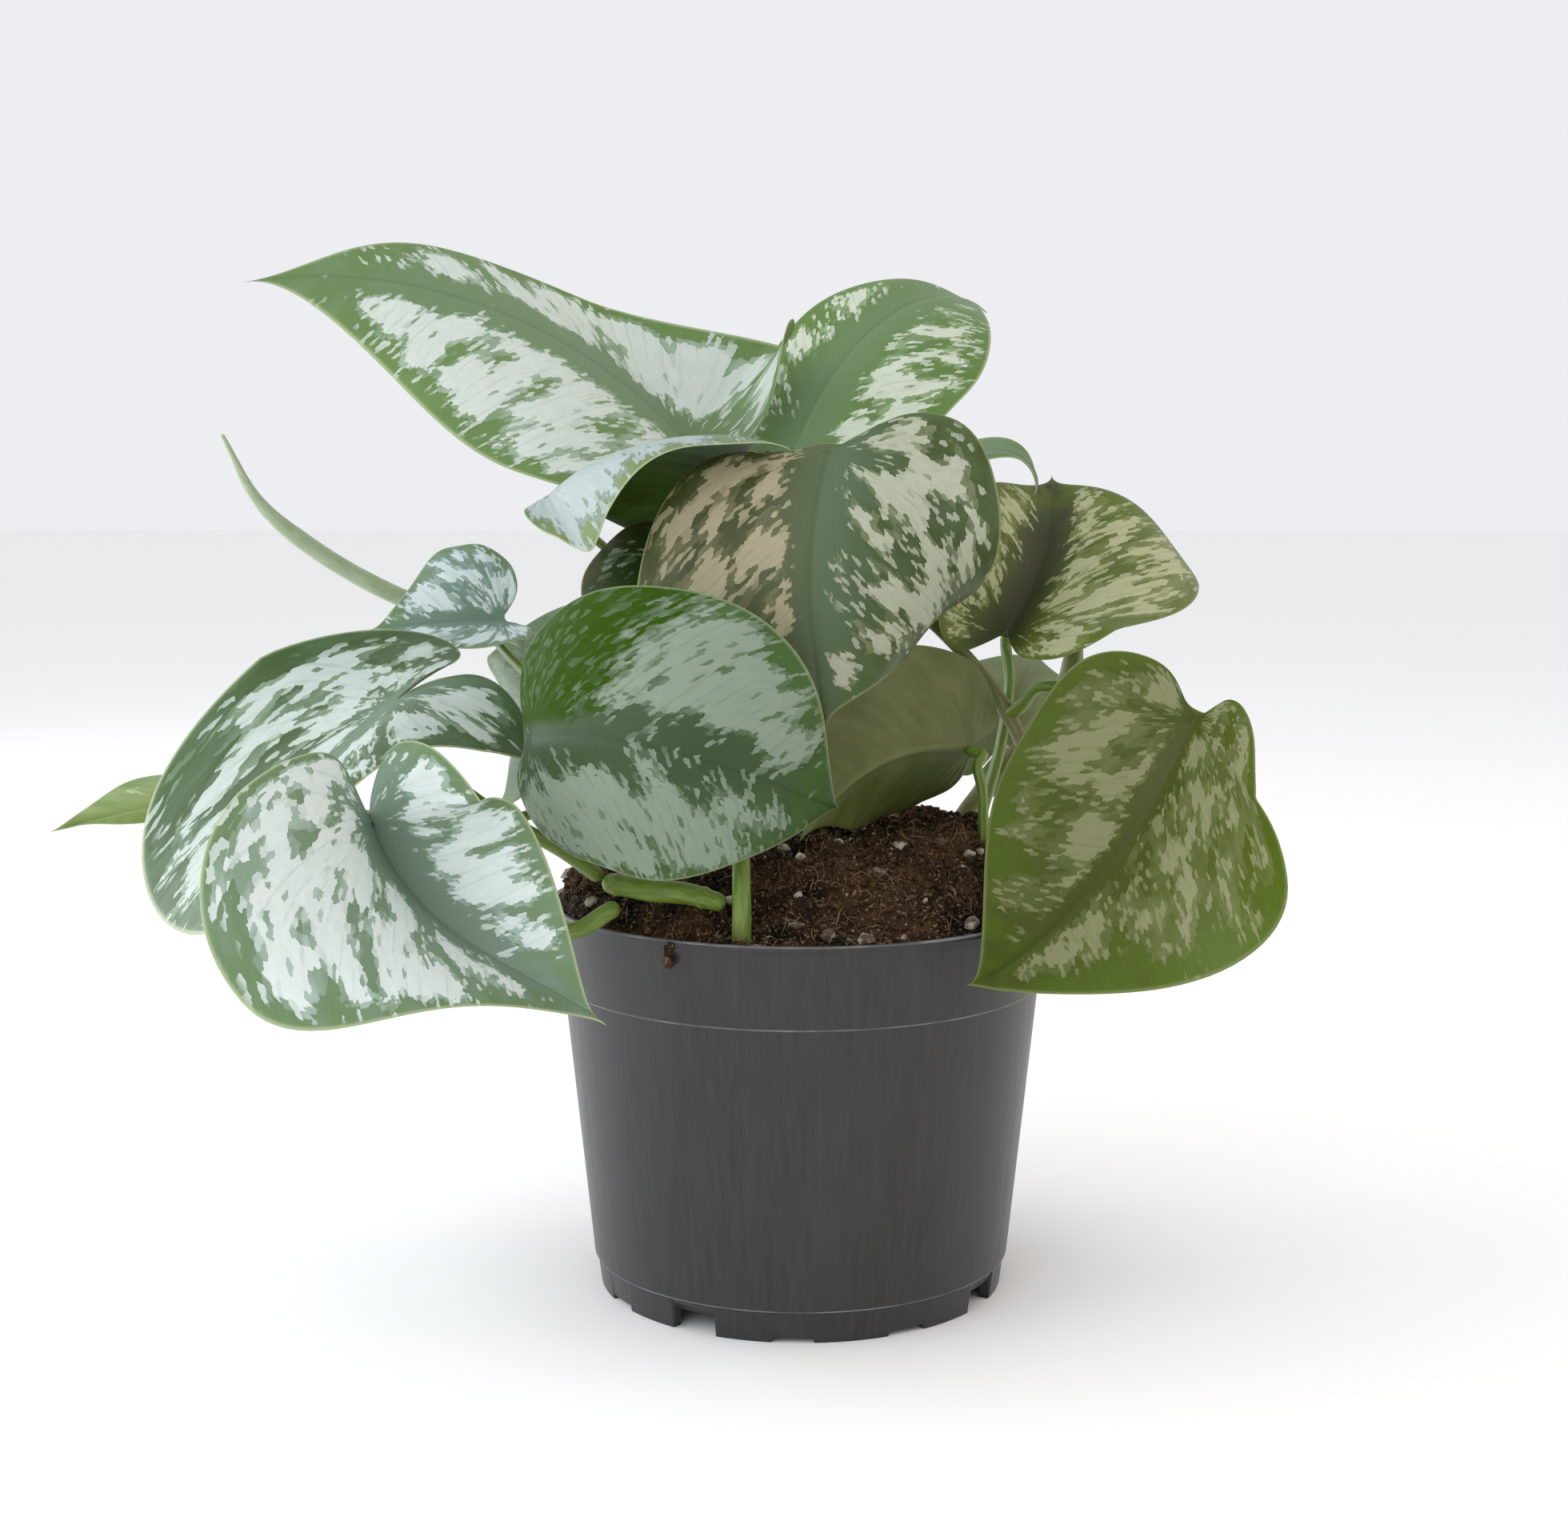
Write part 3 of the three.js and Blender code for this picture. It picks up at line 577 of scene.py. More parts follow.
@dataclass(frozen=True)
class SilveredBlade(Finish):
    """The upper face of a silver-marked leaf: air under the skin makes matte silver cells in jagged
    blocks that run along the side veins, between a plain green middle and a green margin.

    Fields:
        green, deep, rim: Body green, green along the midrib, and green towards the margin.
        silver, ghost: Colour of the silver cells, and of the half-silvered ones.
        line, groove: Pale translucent line at the very edge, and the dark bottom of the midrib.
        left, right: Tint that the light and the leaf's own shade give each half.
        cover: Share of silver, 0..1.
        half: Share of half-silvered green round it, 0..1.
        band: Half width of the plain middle at the base, in mm.
        fringe: Reach at which silver thins out towards the margin, 0..1.
        flecks: Share of single silver cells in the green, 0..1.
        line, groove: Pale translucent line at the very edge, and painted shade in the bottom of the midrib's
            crease.
        sunny, sun: How strongly light through the left lobe turns it yellow-green, and that green.
        cell: Size of a cell (across, along) the veins, in mm.
        patch: Size of a patch (across, along) the veins, in mm.
        vein_spacing: Distance between the fine side veins along the midrib, in mm.
        seed: Shifts the pattern.
    """

    title: str = "leaf blade silvered"
    ior: float = 1.42
    green: str = "6f8560"
    deep: str = "5c7551"
    rim: str = "5f7a45"
    silver: str = "ccd8cc"
    ghost: str = "a0b29a"
    line: str = "a9b48c"
    groove: str = "1e2a18"
    left: str = "ffffff"
    right: str = "ffffff"
    cover: float = 0.5
    half: float = 0.5
    band: float = 5.0
    fringe: float = 0.8
    flecks: float = 0.16
    holes: float = 0.03
    sunny: float = 0.0
    sun: str = "2c4802"
    cell: tuple[float, float] = (1.1, 1.8)
    patch: tuple[float, float] = (9.0, 11.0)
    vein_spacing: float = 3.7
    seed: float = 0.0

    def cells(self, tree: Tree, vein: Socket) -> tuple:
        """Cells stretched along the veins, with wavering edges.

        Args:
            tree: The material's node tree.
            vein: Place along and across the side veins, in mm.

        Returns:
            Three random numbers of the cell, and a slow field of 0..1 read at the cell's middle.
        """
        ragged = self.noise(tree, vein, 0.7, 1.0)
        shift = self.sum(tree, "MULTIPLY_ADD", ragged, 0.9, -0.45)
        moved = add_node(tree, "ShaderNodeVectorMath", {"operation": "ADD"}, {0: vein, 1: shift}).outputs[0]
        squeeze = (1.0 / self.cell[0], 1.0 / self.cell[1], 1.0)
        place = {"Vector": moved, "Location": (self.seed * 7.3, self.seed * 3.1, 0.0), "Scale": squeeze}
        cells = add_node(tree, "ShaderNodeMapping", inputs=place).outputs[0]
        settings = {"voronoi_dimensions": "2D", "feature": "F1"}
        cell = add_node(
            tree, "ShaderNodeTexVoronoi", settings, {"Vector": cells, "Scale": 1.0, "Randomness": 0.8},
        )
        chance = add_node(tree, "ShaderNodeSeparateXYZ", inputs={0: cell.outputs["Color"]}).outputs
        wide = (self.cell[0] / self.patch[0], self.cell[1] / self.patch[1], 1.0)
        patches = add_node(
            tree, "ShaderNodeMapping", inputs={"Vector": cell.outputs["Position"], "Scale": wide},
        )
        field = self.noise(tree, patches.outputs[0], 1.0, 2.5, 0.5)
        return chance, self.stretch(tree, field, 0.28, 0.72)

    @staticmethod
    def stretch(tree: Tree, value: Socket, low: float, high: float) -> Socket:
        """Turn low..high straight into 0..1."""
        inputs = {"Value": value, "From Min": low, "From Max": high}
        return add_node(tree, "ShaderNodeMapRange", None, inputs).outputs[0]

    def paint(self, tree: Tree, shader: Node) -> None:
        """The slow field, lowered at the midrib and the margin, says of each whole cell whether it
        is green, half silver or silver; single cells are silver by chance.

        Args:
            tree: The material's node tree.
            shader: Its Principled shader.
        """
        vein = add_node(tree, "ShaderNodeAttribute", {"attribute_name": "leaf_vein"}).outputs["Vector"]
        flat = add_node(tree, "ShaderNodeAttribute", {"attribute_name": "leaf_place"}).outputs["Vector"]
        along, out, reach = add_node(tree, "ShaderNodeSeparateXYZ", inputs={0: flat}).outputs
        origin, across, _ = add_node(tree, "ShaderNodeSeparateXYZ", inputs={0: vein}).outputs
        chance, field = self.cells(tree, vein)
        half_band = self.sum(tree, "MULTIPLY_ADD", along, -0.5 * self.band, self.band)
        from_rib = self.sum(tree, "ABSOLUTE", across)
        away = self.sum(tree, "MULTIPLY_ADD", chance[0], 1.6, from_rib)
        inside = self.ramp(tree, self.sum(tree, "DIVIDE", away, half_band), 0.5, 2.3, (0.85, 0.0))
        edge = self.ramp(tree, reach, self.fringe, 1.02, (0.0, 0.6))
        height = self.sum(tree, "SUBTRACT", self.sum(tree, "SUBTRACT", field, inside), edge)
        height = self.sum(tree, "ADD", height, self.cover - 0.5)
        height = self.sum(tree, "MULTIPLY_ADD", chance[1], 0.1, height)
        silvered = self.ramp(tree, height, 0.54, 0.57)
        ghosted = self.ramp(tree, height, 0.54 - 0.3 * self.half, 0.58 - 0.3 * self.half)
        hole = self.sum(tree, "LESS_THAN", chance[2], self.holes)
        hole = self.sum(tree, "MULTIPLY", hole, self.ramp(tree, reach, 0.35, 0.75, (0.2, 0.9)))
        silvered = self.sum(tree, "SUBTRACT", silvered, hole, clamp=True)
        lone = self.sum(tree, "GREATER_THAN", chance[2], 1.0 - self.flecks)
        lone = self.sum(tree, "MULTIPLY", lone, self.ramp(tree, height, 0.0, 0.25, (0.0, 0.75)))
        tone = self.noise(tree, vein, 8.0, 3.0)
        body = self.colours(tree, self.ramp(tree, out, 0.04, 0.4), srgb(self.deep), srgb(self.green))
        edged = self.sum(tree, "MULTIPLY", self.ramp(tree, reach, 0.6, 1.0), self.ramp(tree, tone, 0.3, 0.7))
        body = self.colours(tree, edged, body, srgb(self.rim))
        body = self.colours(tree, self.ramp(tree, tone, 0.35, 0.7, (0.0, 0.4)), body, srgb(self.deep))
        # Painted shade: a dark line in the midrib's crease.
        rib = self.ramp(tree, from_rib, 0.1, 0.9, (0.14, 0.0))
        body = self.colours(tree, rib, body, srgb(self.groove))
        lobe = self.sum(tree, "MULTIPLY", self.ramp(tree, across, 0.5, 5.0), self.sunny)
        sunlit = self.sum(tree, "MULTIPLY_ADD", tone, 0.4, self.sum(tree, "MULTIPLY_ADD", out, -0.25, along))
        sunlit = self.sum(tree, "MULTIPLY_ADD", chance[0], 0.08, sunlit)
        lobe = self.sum(tree, "MULTIPLY", lobe, self.ramp(tree, sunlit, 0.42, 0.31))
        body = self.colours(tree, lobe, body, srgb(self.sun))
        pale = self.colours(
            tree, self.sum(tree, "MULTIPLY", chance[0], 0.16), srgb(self.silver), srgb(self.ghost),
        )
        half = self.colours(tree, self.ramp(tree, tone, 0.38, 0.6, (0.9, 0.35)), body, srgb(self.ghost))
        shown = self.colours(tree, ghosted, body, half)
        shown = self.colours(tree, self.sum(tree, "MAXIMUM", silvered, lone), shown, pale)
        flecked = self.sum(tree, "MULTIPLY", lobe, self.ramp(tree, chance[1], 0.6, 0.9, (1.0, 0.75)))
        shown = self.colours(tree, flecked, shown, srgb(self.sun))
        spacing = self.sum(tree, "MULTIPLY", origin, 2.0 * np.pi / self.vein_spacing)
        waves = self.sum(tree, "MULTIPLY_ADD", self.sum(tree, "COSINE", spacing), 0.5, 0.5)
        veins = self.sum(tree, "POWER", waves, 16.0)
        veins = self.sum(tree, "MULTIPLY", veins, self.ramp(tree, tone, 0.4, 0.6, (0.0, 0.22)))
        veins = self.sum(tree, "MULTIPLY", veins, self.ramp(tree, away, 2.0, 6.0))
        shown = self.colours(tree, veins, shown, srgb(self.deep))
        tint = self.colours(tree, self.ramp(tree, across, -4.0, 4.0), srgb(self.right), srgb(self.left))
        shown = self.colours(tree, 1.0, shown, tint, Blend.MULTIPLY)
        shown = self.colours(tree, self.ramp(tree, reach, 0.984, 1.0, (0.0, 0.7)), shown, srgb(self.line))
        tree.links.new(shown, shader.inputs["Base Color"])
        tree.links.new(self.ramp(tree, silvered, 0.0, 1.0, (0.38, 0.52)), shader.inputs["Roughness"])
        tree.links.new(self.ramp(tree, lobe, 0.0, 1.0, (0.26, 0.05)), shader.inputs["Specular IOR Level"])
        shader.inputs["Subsurface Weight"].default_value = 0.1
        shader.inputs["Subsurface Radius"].default_value = (0.8, 1.0, 0.3)
        shader.inputs["Subsurface Scale"].default_value = 0.6 * MM
        grain = self.noise(tree, vein, 0.9, 4.0, 0.6)
        skin = self.sum(tree, "MULTIPLY_ADD", grain, 1.0, self.sum(tree, "MULTIPLY", silvered, 0.15))
        skin = self.sum(tree, "MULTIPLY_ADD", veins, -1.0, skin)
        self.relief(tree, shader, skin, 0.2, 0.6)


@dataclass(frozen=True)
class LeafBack(Finish):
    """The underside of a leaf: plain, paler and duller than the face, with raised veins.

    Fields:
        green: Body colour.
        vein: Colour of the veins.
        shade: Darker green away from the light.
        glow: How much light comes through.
    """

    title: str = "leaf underside"
    ior: float = 1.4
    green: str = "6f8350"
    vein: str = "8c9c6c"
    shade: str = "5c7040"
    glow: float = 0.2

    def paint(self, tree: Tree, shader: Node) -> None:
        """Veins are thin lines a few millimetres apart along the side veins' own run.

        Args:
            tree: The material's node tree.
            shader: Its Principled shader.
        """
        vein = add_node(tree, "ShaderNodeAttribute", {"attribute_name": "leaf_vein"}).outputs["Vector"]
        origin, across, _ = add_node(tree, "ShaderNodeSeparateXYZ", inputs={0: vein}).outputs
        clouds = self.noise(tree, vein, 10.0, 3.0)
        body = self.colours(tree, self.ramp(tree, clouds, 0.3, 0.7), srgb(self.green), srgb(self.shade))
        waves = self.sum(tree, "COSINE", self.sum(tree, "MULTIPLY", origin, 2.0 * np.pi / 4.2))
        lines = self.sum(tree, "POWER", self.sum(tree, "MULTIPLY_ADD", waves, 0.5, 0.5), 24.0)
        from_rib = self.sum(tree, "ABSOLUTE", across)
        rib = self.ramp(tree, from_rib, 0.3, 1.0, (1.0, 0.0))
        lines = self.sum(tree, "MULTIPLY", lines, self.ramp(tree, from_rib, 3.0, 9.0))
        faint = self.sum(tree, "MULTIPLY", lines, 0.1)
        marks = self.sum(tree, "MAXIMUM", faint, self.sum(tree, "MULTIPLY", rib, 0.6))
        tree.links.new(self.colours(tree, marks, body, srgb(self.vein)), shader.inputs["Base Color"])
        shader.inputs["Roughness"].default_value = 0.5
        shader.inputs["Subsurface Weight"].default_value = self.glow
        shader.inputs["Subsurface Radius"].default_value = (0.8, 1.0, 0.3)
        shader.inputs["Subsurface Scale"].default_value = 0.8 * MM
        grain = self.noise(tree, vein, 0.6, 2.0)
        self.relief(tree, shader, self.sum(tree, "MULTIPLY_ADD", lines, 0.3, grain), 0.08, 0.4)


# ---- Leaves

SINUS_DEPTH = 0.03
WAVE_ANGLE = 24.0
FOLD_SOFTNESS = 2.5
OUTLINE_STEPS = (5, 4, 3)
RIB_STEPS = 24


@dataclass(frozen=True)
class LeafForm:
    """One blade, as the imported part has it. Pairs are for the left and the right half.

    Fields:
        name: The leaf's name; its node is leaf_<name>.
        joint: Where the stalk meets it, measured from the middle of the pot's rim.
        heading, pitch, roll: Its direction from +X towards +Y, up, and left half up.
        length, widths, widest, lobes: Flat outline; widest is a share of the length.
        arch, bias, sway, twist, lift: How the midrib bends down, early or late, sideways and
            round from base to tip, and how far the lobes turn up.
        folds, curls: How far the halves rise at the midrib and droop at the base and tip.
        waves: (height, angle round the outline) of single waves of the margin.
    """

    name: str
    joint: tuple[float, float, float]
    heading: float
    pitch: float
    roll: float
    length: float
    widths: tuple[float, float]
    widest: float
    lobes: tuple[float, float]
    arch: float
    bias: float
    sway: float
    twist: float
    lift: float
    folds: tuple[float, float]
    curls: tuple[tuple[float, float], tuple[float, float]]
    waves: tuple[tuple[float, float], ...]

    def axes(self) -> tuple[Array, Array, Array]:
        """Unit vectors along the blade, across to its left, and up out of its upper face.

        Returns:
            Along, across and up.
        """
        heading, pitch, roll = np.radians([self.heading, self.pitch, self.roll])
        along = np.array([np.cos(pitch) * np.cos(heading), np.cos(pitch) * np.sin(heading), np.sin(pitch)])
        level = np.array([-np.sin(heading), np.cos(heading), 0.0])
        across = level * np.cos(roll) + np.cross(along, level) * np.sin(roll)
        return along, across, np.cross(along, across)

    def half_outline(self, side: int, finer: int) -> tuple[Array, Array]:
        """Half of the flat outline from the tip to just short of the notch, as three cubic Bezier
        curves (1-u)^3 a + 3(1-u)^2 u b + 3(1-u) u^2 c + u^3 d.

        Args:
            side: 0 for the left half, 1 for the right.
            finer: Points for each step of the part's own outline.

        Returns:
            Points (n, 2), and for each its angle round the outline, 0..180 degrees.
        """
        length, width, lobe = self.length, self.widths[side], self.lobes[side]
        waist, shoulder = self.widest * length, width / 2.0
        notch = -SINUS_DEPTH * length
        spans = (
            ((length, 0), (0.84 * length, 0), (waist + 0.36 * length, width), (waist, width)),
            ((waist, width), (waist - 0.24 * length, width), (-lobe, 0.88 * width), (-lobe, shoulder)),
            ((-lobe, shoulder), (-lobe, 0.16 * width), (notch, 0.16 * width), (notch, 0)),
        )
        points, angles, done = [], [], 0
        for corners, steps in zip(spans, OUTLINE_STEPS):
            u = np.linspace(0.0, 1.0, steps * finer, endpoint=False)[:, None]
            a, b, c, d = np.array(corners, float)
            points.append((1 - u) ** 3 * a + 3 * (1 - u) ** 2 * u * b + 3 * (1 - u) * u**2 * c + u**3 * d)
            angles.append((done + u[:, 0] * steps) * 180.0 / sum(OUTLINE_STEPS))
            done += steps
        return np.vstack(points), np.concatenate(angles)

    def outline(self, finer: int) -> tuple[Array, Array]:
        """The whole flat outline, from the tip round by the left, with each point's angle.

        Args:
            finer: Points for each step of the part's own outline.

        Returns:
            Points (n, 2), and their angles in degrees.
        """
        left, left_angle = self.half_outline(0, finer)
        right, right_angle = self.half_outline(1, finer)
        notch = np.array([[-SINUS_DEPTH * self.length, 0.0]])
        points = np.vstack([left, notch, (right[1:] * [1.0, -1.0])[::-1]])
        return points, np.concatenate([left_angle, [180.0], 360.0 - right_angle[1:][::-1]])

    def rib_axes(self, s: Array) -> tuple[Array, Array, Array]:
        """The midrib's along, across and up vectors at distances s from the stalk joint. They turn
        down by arch * (share + bias * (share^2 - share)) + lift * back and aside by sway * share.

        Args:
            s: Distances along the blade from the joint, in mm.

        Returns:
            Along, across and up, each (..., 3).
        """
        along, across, up = self.axes()
        share = np.clip(s / self.length, 0.0, 1.2)
        back = np.clip(-s / max(self.lobes), 0.0, 1.5)
        bent = self.arch * (share + self.bias * (share * share - share))
        down = np.radians(bent + self.lift * back)[..., None]
        side = np.radians(self.sway * share)[..., None]
        level = along * np.cos(side) + across * np.sin(side)
        return (
            level * np.cos(down) - up * np.sin(down),
            across * np.cos(side) - along * np.sin(side),
            level * np.sin(down) + up * np.cos(down),
        )

    def bend(self, s: Array, t: Array, reach: Array, angle: Array) -> Array:
        """Carry flat points (s along, t across) onto the bent blade, measured from the joint.

        The midrib is the sum of RIB_STEPS short steps along its turning axis. Each half leaves it
        at its fold less half its curl, as an arc whose chord is t * sin(curl/2) / (curl/2), rounded
        over FOLD_SOFTNESS so that the midrib isn't a crease. The waves lift the margin by
        height * reach^2 * exp(-(angle away / WAVE_ANGLE)^2).

        Args:
            s: Distance along.
            t: Distance across, left positive.
            reach: Share of the way to the margin.
            angle: Angle round the outline, in degrees.

        Returns:
            Places, (..., 3), in mm.
        """
        steps = (np.arange(RIB_STEPS) + 0.5)[:, None] / RIB_STEPS
        rib = (self.rib_axes(steps * s)[0] * (s / RIB_STEPS)[..., None]).sum(0)
        share = np.clip(s / self.length, 0.0, 1.0)
        side = np.where(t >= 0, 0, 1)
        curls, folds = np.array(self.curls, float), np.array(self.folds, float)
        _, across, up = self.rib_axes(s)
        turn = np.radians(self.twist * share)[..., None]
        across, up = across * np.cos(turn) + up * np.sin(turn), up * np.cos(turn) - across * np.sin(turn)
        curl = np.radians(curls[side, 0] * (1 - share) + curls[side, 1] * share)
        curl = curl * np.abs(t) / np.array(self.widths)[side]
        slope = np.radians(folds[side]) * (1.0 - 0.4 * share) - curl / 2.0
        chord = np.sinc(curl / 2.0 / np.pi)
        rise = (np.hypot(t, FOLD_SOFTNESS) - FOLD_SOFTNESS) * np.sin(slope) * chord
        for height, middle in self.waves:
            away = (angle - middle + 180.0) % 360.0 - 180.0
            rise = rise + height * reach**2 * np.exp(-((away / WAVE_ANGLE) ** 2))
        return rib + across * (t * np.cos(slope) * chord)[..., None] + up * rise[..., None]


@dataclass
class Blade:
    """A leaf blade: two faces a fraction of a millimetre apart, joined by a rounded margin.

    Fields:
        form: Its shape.
        face, back: Finishes of the upper face and the underside.
        thickness: Thickness at the middle, in mm.
        rings: Rows of vertices from the stalk joint to the margin.
        finer: Vertices for each step of the outline.
        groove, rib: Depth of the midrib above and its height below, in mm.
        quilt: Height of the pillows between side veins, in mm.
        quilt_spacing: Distance between side veins along the midrib, in mm.
        ripple: Height of the margin's small ripples, in mm.
    """

    form: LeafForm
    face: SilveredBlade
    back: LeafBack
    thickness: float = 0.6
    rings: int = 38
    finer: int = 7
    groove: float = 0.22
    rib: float = 0.5
    quilt: float = 0.07
    quilt_spacing: float = 6.0
    ripple: float = 0.3

    def vein_origin(self, s: Array, t: Array) -> Array:
        """Where along the midrib the side vein through each flat point starts: s - 0.62 |t| less a
        curve towards the tip. Behind the joint the veins fan out, so there it is the angle past
        the first vein, times 26 mm.

        Args:
            s: Distance along, in mm.
            t: Distance across, in mm.

        Returns:
            Distance along the midrib, in mm.
        """
        width = max(self.form.widths)
        run = np.abs(t)
        origin = s - 0.62 * run - 0.25 * run * run / width
        angle = np.arctan2(run, s)
        first = np.arctan2(1.0, 0.62)
        fanned = -(angle - first) * 26.0 - 0.25 * run * run / width
        return np.where(origin < -0.25 * run * run / width, fanned, origin)

    def build(self, rim: Array) -> Piece:
        """Make the blade's mesh and give it its finishes.

        Args:
            rim: The middle of the pot's rim, in mm.

        Returns:
            The piece, named blade_<name>.
        """
        outline, angles = self.form.outline(self.finer)
        spokes = len(outline)
        reach = np.repeat(np.arange(1, self.rings + 1) / self.rings, spokes)
        flat = np.tile(outline, (self.rings, 1)) * reach[:, None]
        angle = np.tile(angles, self.rings)
        s, t = np.append(flat[:, 0], 0.0), np.append(flat[:, 1], 0.0)
        reach, angle = np.append(reach, 0.0), np.append(angle, 0.0)
        middle = self.form.bend(s, t, reach, angle) + np.array(self.form.joint) + rim
        centre = len(middle) - 1
        quads = grid_quads(self.rings, spokes)
        hub, middles = np.arange(spokes), np.full(spokes, centre)
        start = np.column_stack([middles, hub, np.roll(hub, -1), middles])
        normals = vertex_normals(middle, np.vstack([quads[:, ::-1], start]))
        normals = normals * np.sign((normals[centre] * self.form.axes()[2]).sum())
        origin = self.vein_origin(s, t)
        along = np.clip(s / self.form.length, -0.4, 1.0)
        out = np.abs(t) / max(self.form.widths)
        pillows = np.cos(2 * np.pi * origin / self.quilt_spacing)
        pillows = pillows * smoothstep(0.06, 0.3, out) * smoothstep(1.0, 0.75, reach)
        wide = 1.3 - 0.7 * np.clip(along, 0, 1)
        crease = np.exp(-((t / wide) ** 2)) * smoothstep(1.0, 0.7, along) * smoothstep(-0.02, 0.04, along)
        ripples = self.ripple * reach**5 * np.sin(np.radians(angle) * 9.0 + self.face.seed)
        middle = middle + normals * (self.quilt * pillows + ripples)[:, None]
        half = self.thickness / 2.0 * (1.0 - 0.55 * reach**8)
        upper = middle + normals * (half - self.groove * crease)[:, None]
        lower = middle - normals * (half + self.rib * crease)[:, None]
        last = np.arange((self.rings - 1) * spokes, self.rings * spokes)
        outwards = unit(middle[last] - middle[last - spokes])
        edge = middle[last] + outwards * self.thickness * 0.3
        count = len(middle)
        vertices = np.vstack([upper, lower, edge])
        turned = self.facing(upper, quads, normals)
        top = quads if turned else quads[:, ::-1]
        below = top[:, ::-1] + count
        ring = fan(centre, hub)
        inwards = ring if self.facing(upper, ring, normals) else ring[:, ::-1]
        hem = 2 * count + hub
        over = np.column_stack([last, np.roll(last, -1), np.roll(hem, -1), hem])
        under = np.column_stack([hem, np.roll(hem, -1), np.roll(last, -1) + count, last + count])
        margin = np.vstack([over, under])
        if not turned:
            margin = margin[:, ::-1]
        face, back = self.face.material(), self.back.material()
        faces = [top, below, inwards, inwards[:, ::-1] + count, margin]
        piece = write_mesh(f"blade_{self.form.name}", vertices, faces, [face, back, face, back, face])
        vein = np.column_stack([origin, t, np.zeros(count)])
        flat_place = np.column_stack([along, out, reach])
        add_vectors(piece, "leaf_vein", np.vstack([vein, vein, vein[last]]))
        add_vectors(piece, "leaf_place", np.vstack([flat_place, flat_place, flat_place[last]]))
        return piece

    @staticmethod
    def facing(vertices: Array, faces: Array, normals: Array) -> bool:
        """Whether faces turn the way that the vertices' normals point.

        Args:
            vertices: (n, 3) places.
            faces: Faces of three or four corners.
            normals: The vertices' normals.

        Returns:
            True if they do.
        """
        corners = vertices[faces]
        across = np.cross(corners[:, 1] - corners[:, 0], corners[:, 2] - corners[:, 0])
        return bool((across * normals[faces[:, 0]]).sum() > 0)


# ---- Stems and stalks

TUBE_SIDES = 20
END_RINGS = (18.0, 45.0, 72.0)

def tube(name: str, path: Array, radii: Array, material: Material, channel: float) -> Piece:
    """A closed tube along a path, with a vector attribute stalk_skin of (round, along, 0) in mm.

    Each ring is centre + radius * (cos a * side + sin a * front), where front is the way up and
    towards the pot's axis, made square to the path. A channel pulls the ring in by
    channel * exp(-((a - 90 deg) / 38 deg)^2).
    The ends close as half balls over three rings.

    Args:
        name: The piece's name.
        path: Stations, (n, 3), in mm.
        radii: Radius at each station.
        material: The finish.
        channel: Depth of the channel as a share of the radius.

    Returns:
        The piece.
    """
    tangents = unit(np.gradient(path, axis=0))
    lean = UP - 1.2 * unit(path.mean(0) * [1.0, 1.0, 0.0])
    front = unit(lean - tangents * (tangents @ lean)[:, None])
    side = np.cross(front, tangents)
    cap, lift = np.sin(np.radians(END_RINGS)), np.cos(np.radians(END_RINGS))
    foot = path[0] - tangents[0] * (radii[0] * lift)[:, None]
    head = path[-1] + tangents[-1] * (radii[-1] * lift[::-1])[:, None]
    stations = np.vstack([foot, path, head])
    wide = np.concatenate([radii[0] * cap, radii, radii[-1] * cap[::-1]])
    side = np.vstack([np.repeat(side[:1], 3, 0), side, np.repeat(side[-1:], 3, 0)])
    front = np.vstack([np.repeat(front[:1], 3, 0), front, np.repeat(front[-1:], 3, 0)])
    sides = TUBE_SIDES
    angle = np.linspace(0.0, 2 * np.pi, sides, endpoint=False)
    from_front = np.degrees((angle - np.pi / 2 + np.pi) % (2 * np.pi) - np.pi)
    ring = 1.0 - channel * np.exp(-((from_front / 38.0) ** 2))
    sideways, forwards = (np.cos(angle) * ring)[:, None], (np.sin(angle) * ring)[:, None]
    spread = side[:, None] * sideways + front[:, None] * forwards
    grid = stations[:, None] + spread * wide[:, None, None]
    rows = len(stations)
    poles = np.vstack([path[0] - tangents[0] * radii[0], path[-1] + tangents[-1] * radii[-1]])
    vertices = np.vstack([grid.reshape(-1, 3), poles])
    quads, caps = grid_quads(rows, sides), end_fans(rows, sides)
    piece = write_mesh(name, vertices, [quads, caps], [material])
    run = np.concatenate([[0.0], np.cumsum(np.linalg.norm(np.diff(stations, axis=0), axis=1))])
    around = np.abs(from_front) / 60.0 * wide[:, None]
    skin = np.stack([around, np.broadcast_to(run[:, None], around.shape), np.zeros_like(around)], axis=-1)
    ends = np.array([[0.0, 0.0, 0.0], [0.0, run[-1], 0.0]])
    add_vectors(piece, "stalk_skin", np.vstack([skin.reshape(-1, 3), ends]))
    return piece


def tapered(radii: tuple[float, ...], count: int) -> Array:
    """Radii at even stations, straight between the given ones."""
    return np.interp(np.linspace(0.0, 1.0, count), np.linspace(0.0, 1.0, len(radii)), radii)


def swollen(radii: Array, shares: tuple[float, ...], height: float, width: float = 0.03) -> Array:
    """Add leaf joints to a stem: radius * (1 + height * exp(-((share - joint) / width)^2)).

    Args:
        radii: Radius at each station.
        shares: Where the joints are, 0..1.
        height: How much a joint adds.
        width: Half its width, as a share of the length.

    Returns:
        The new radii.
    """
    share = np.linspace(0.0, 1.0, len(radii))
    for joint in shares:
        radii = radii * (1.0 + height * np.exp(-(((share - joint) / width) ** 2)))
    return radii


class Footing(Enum):
    """Where a stalk or stem starts."""

    COMPOST = "compost"
    STEM = "stem"
    FREE = "free"


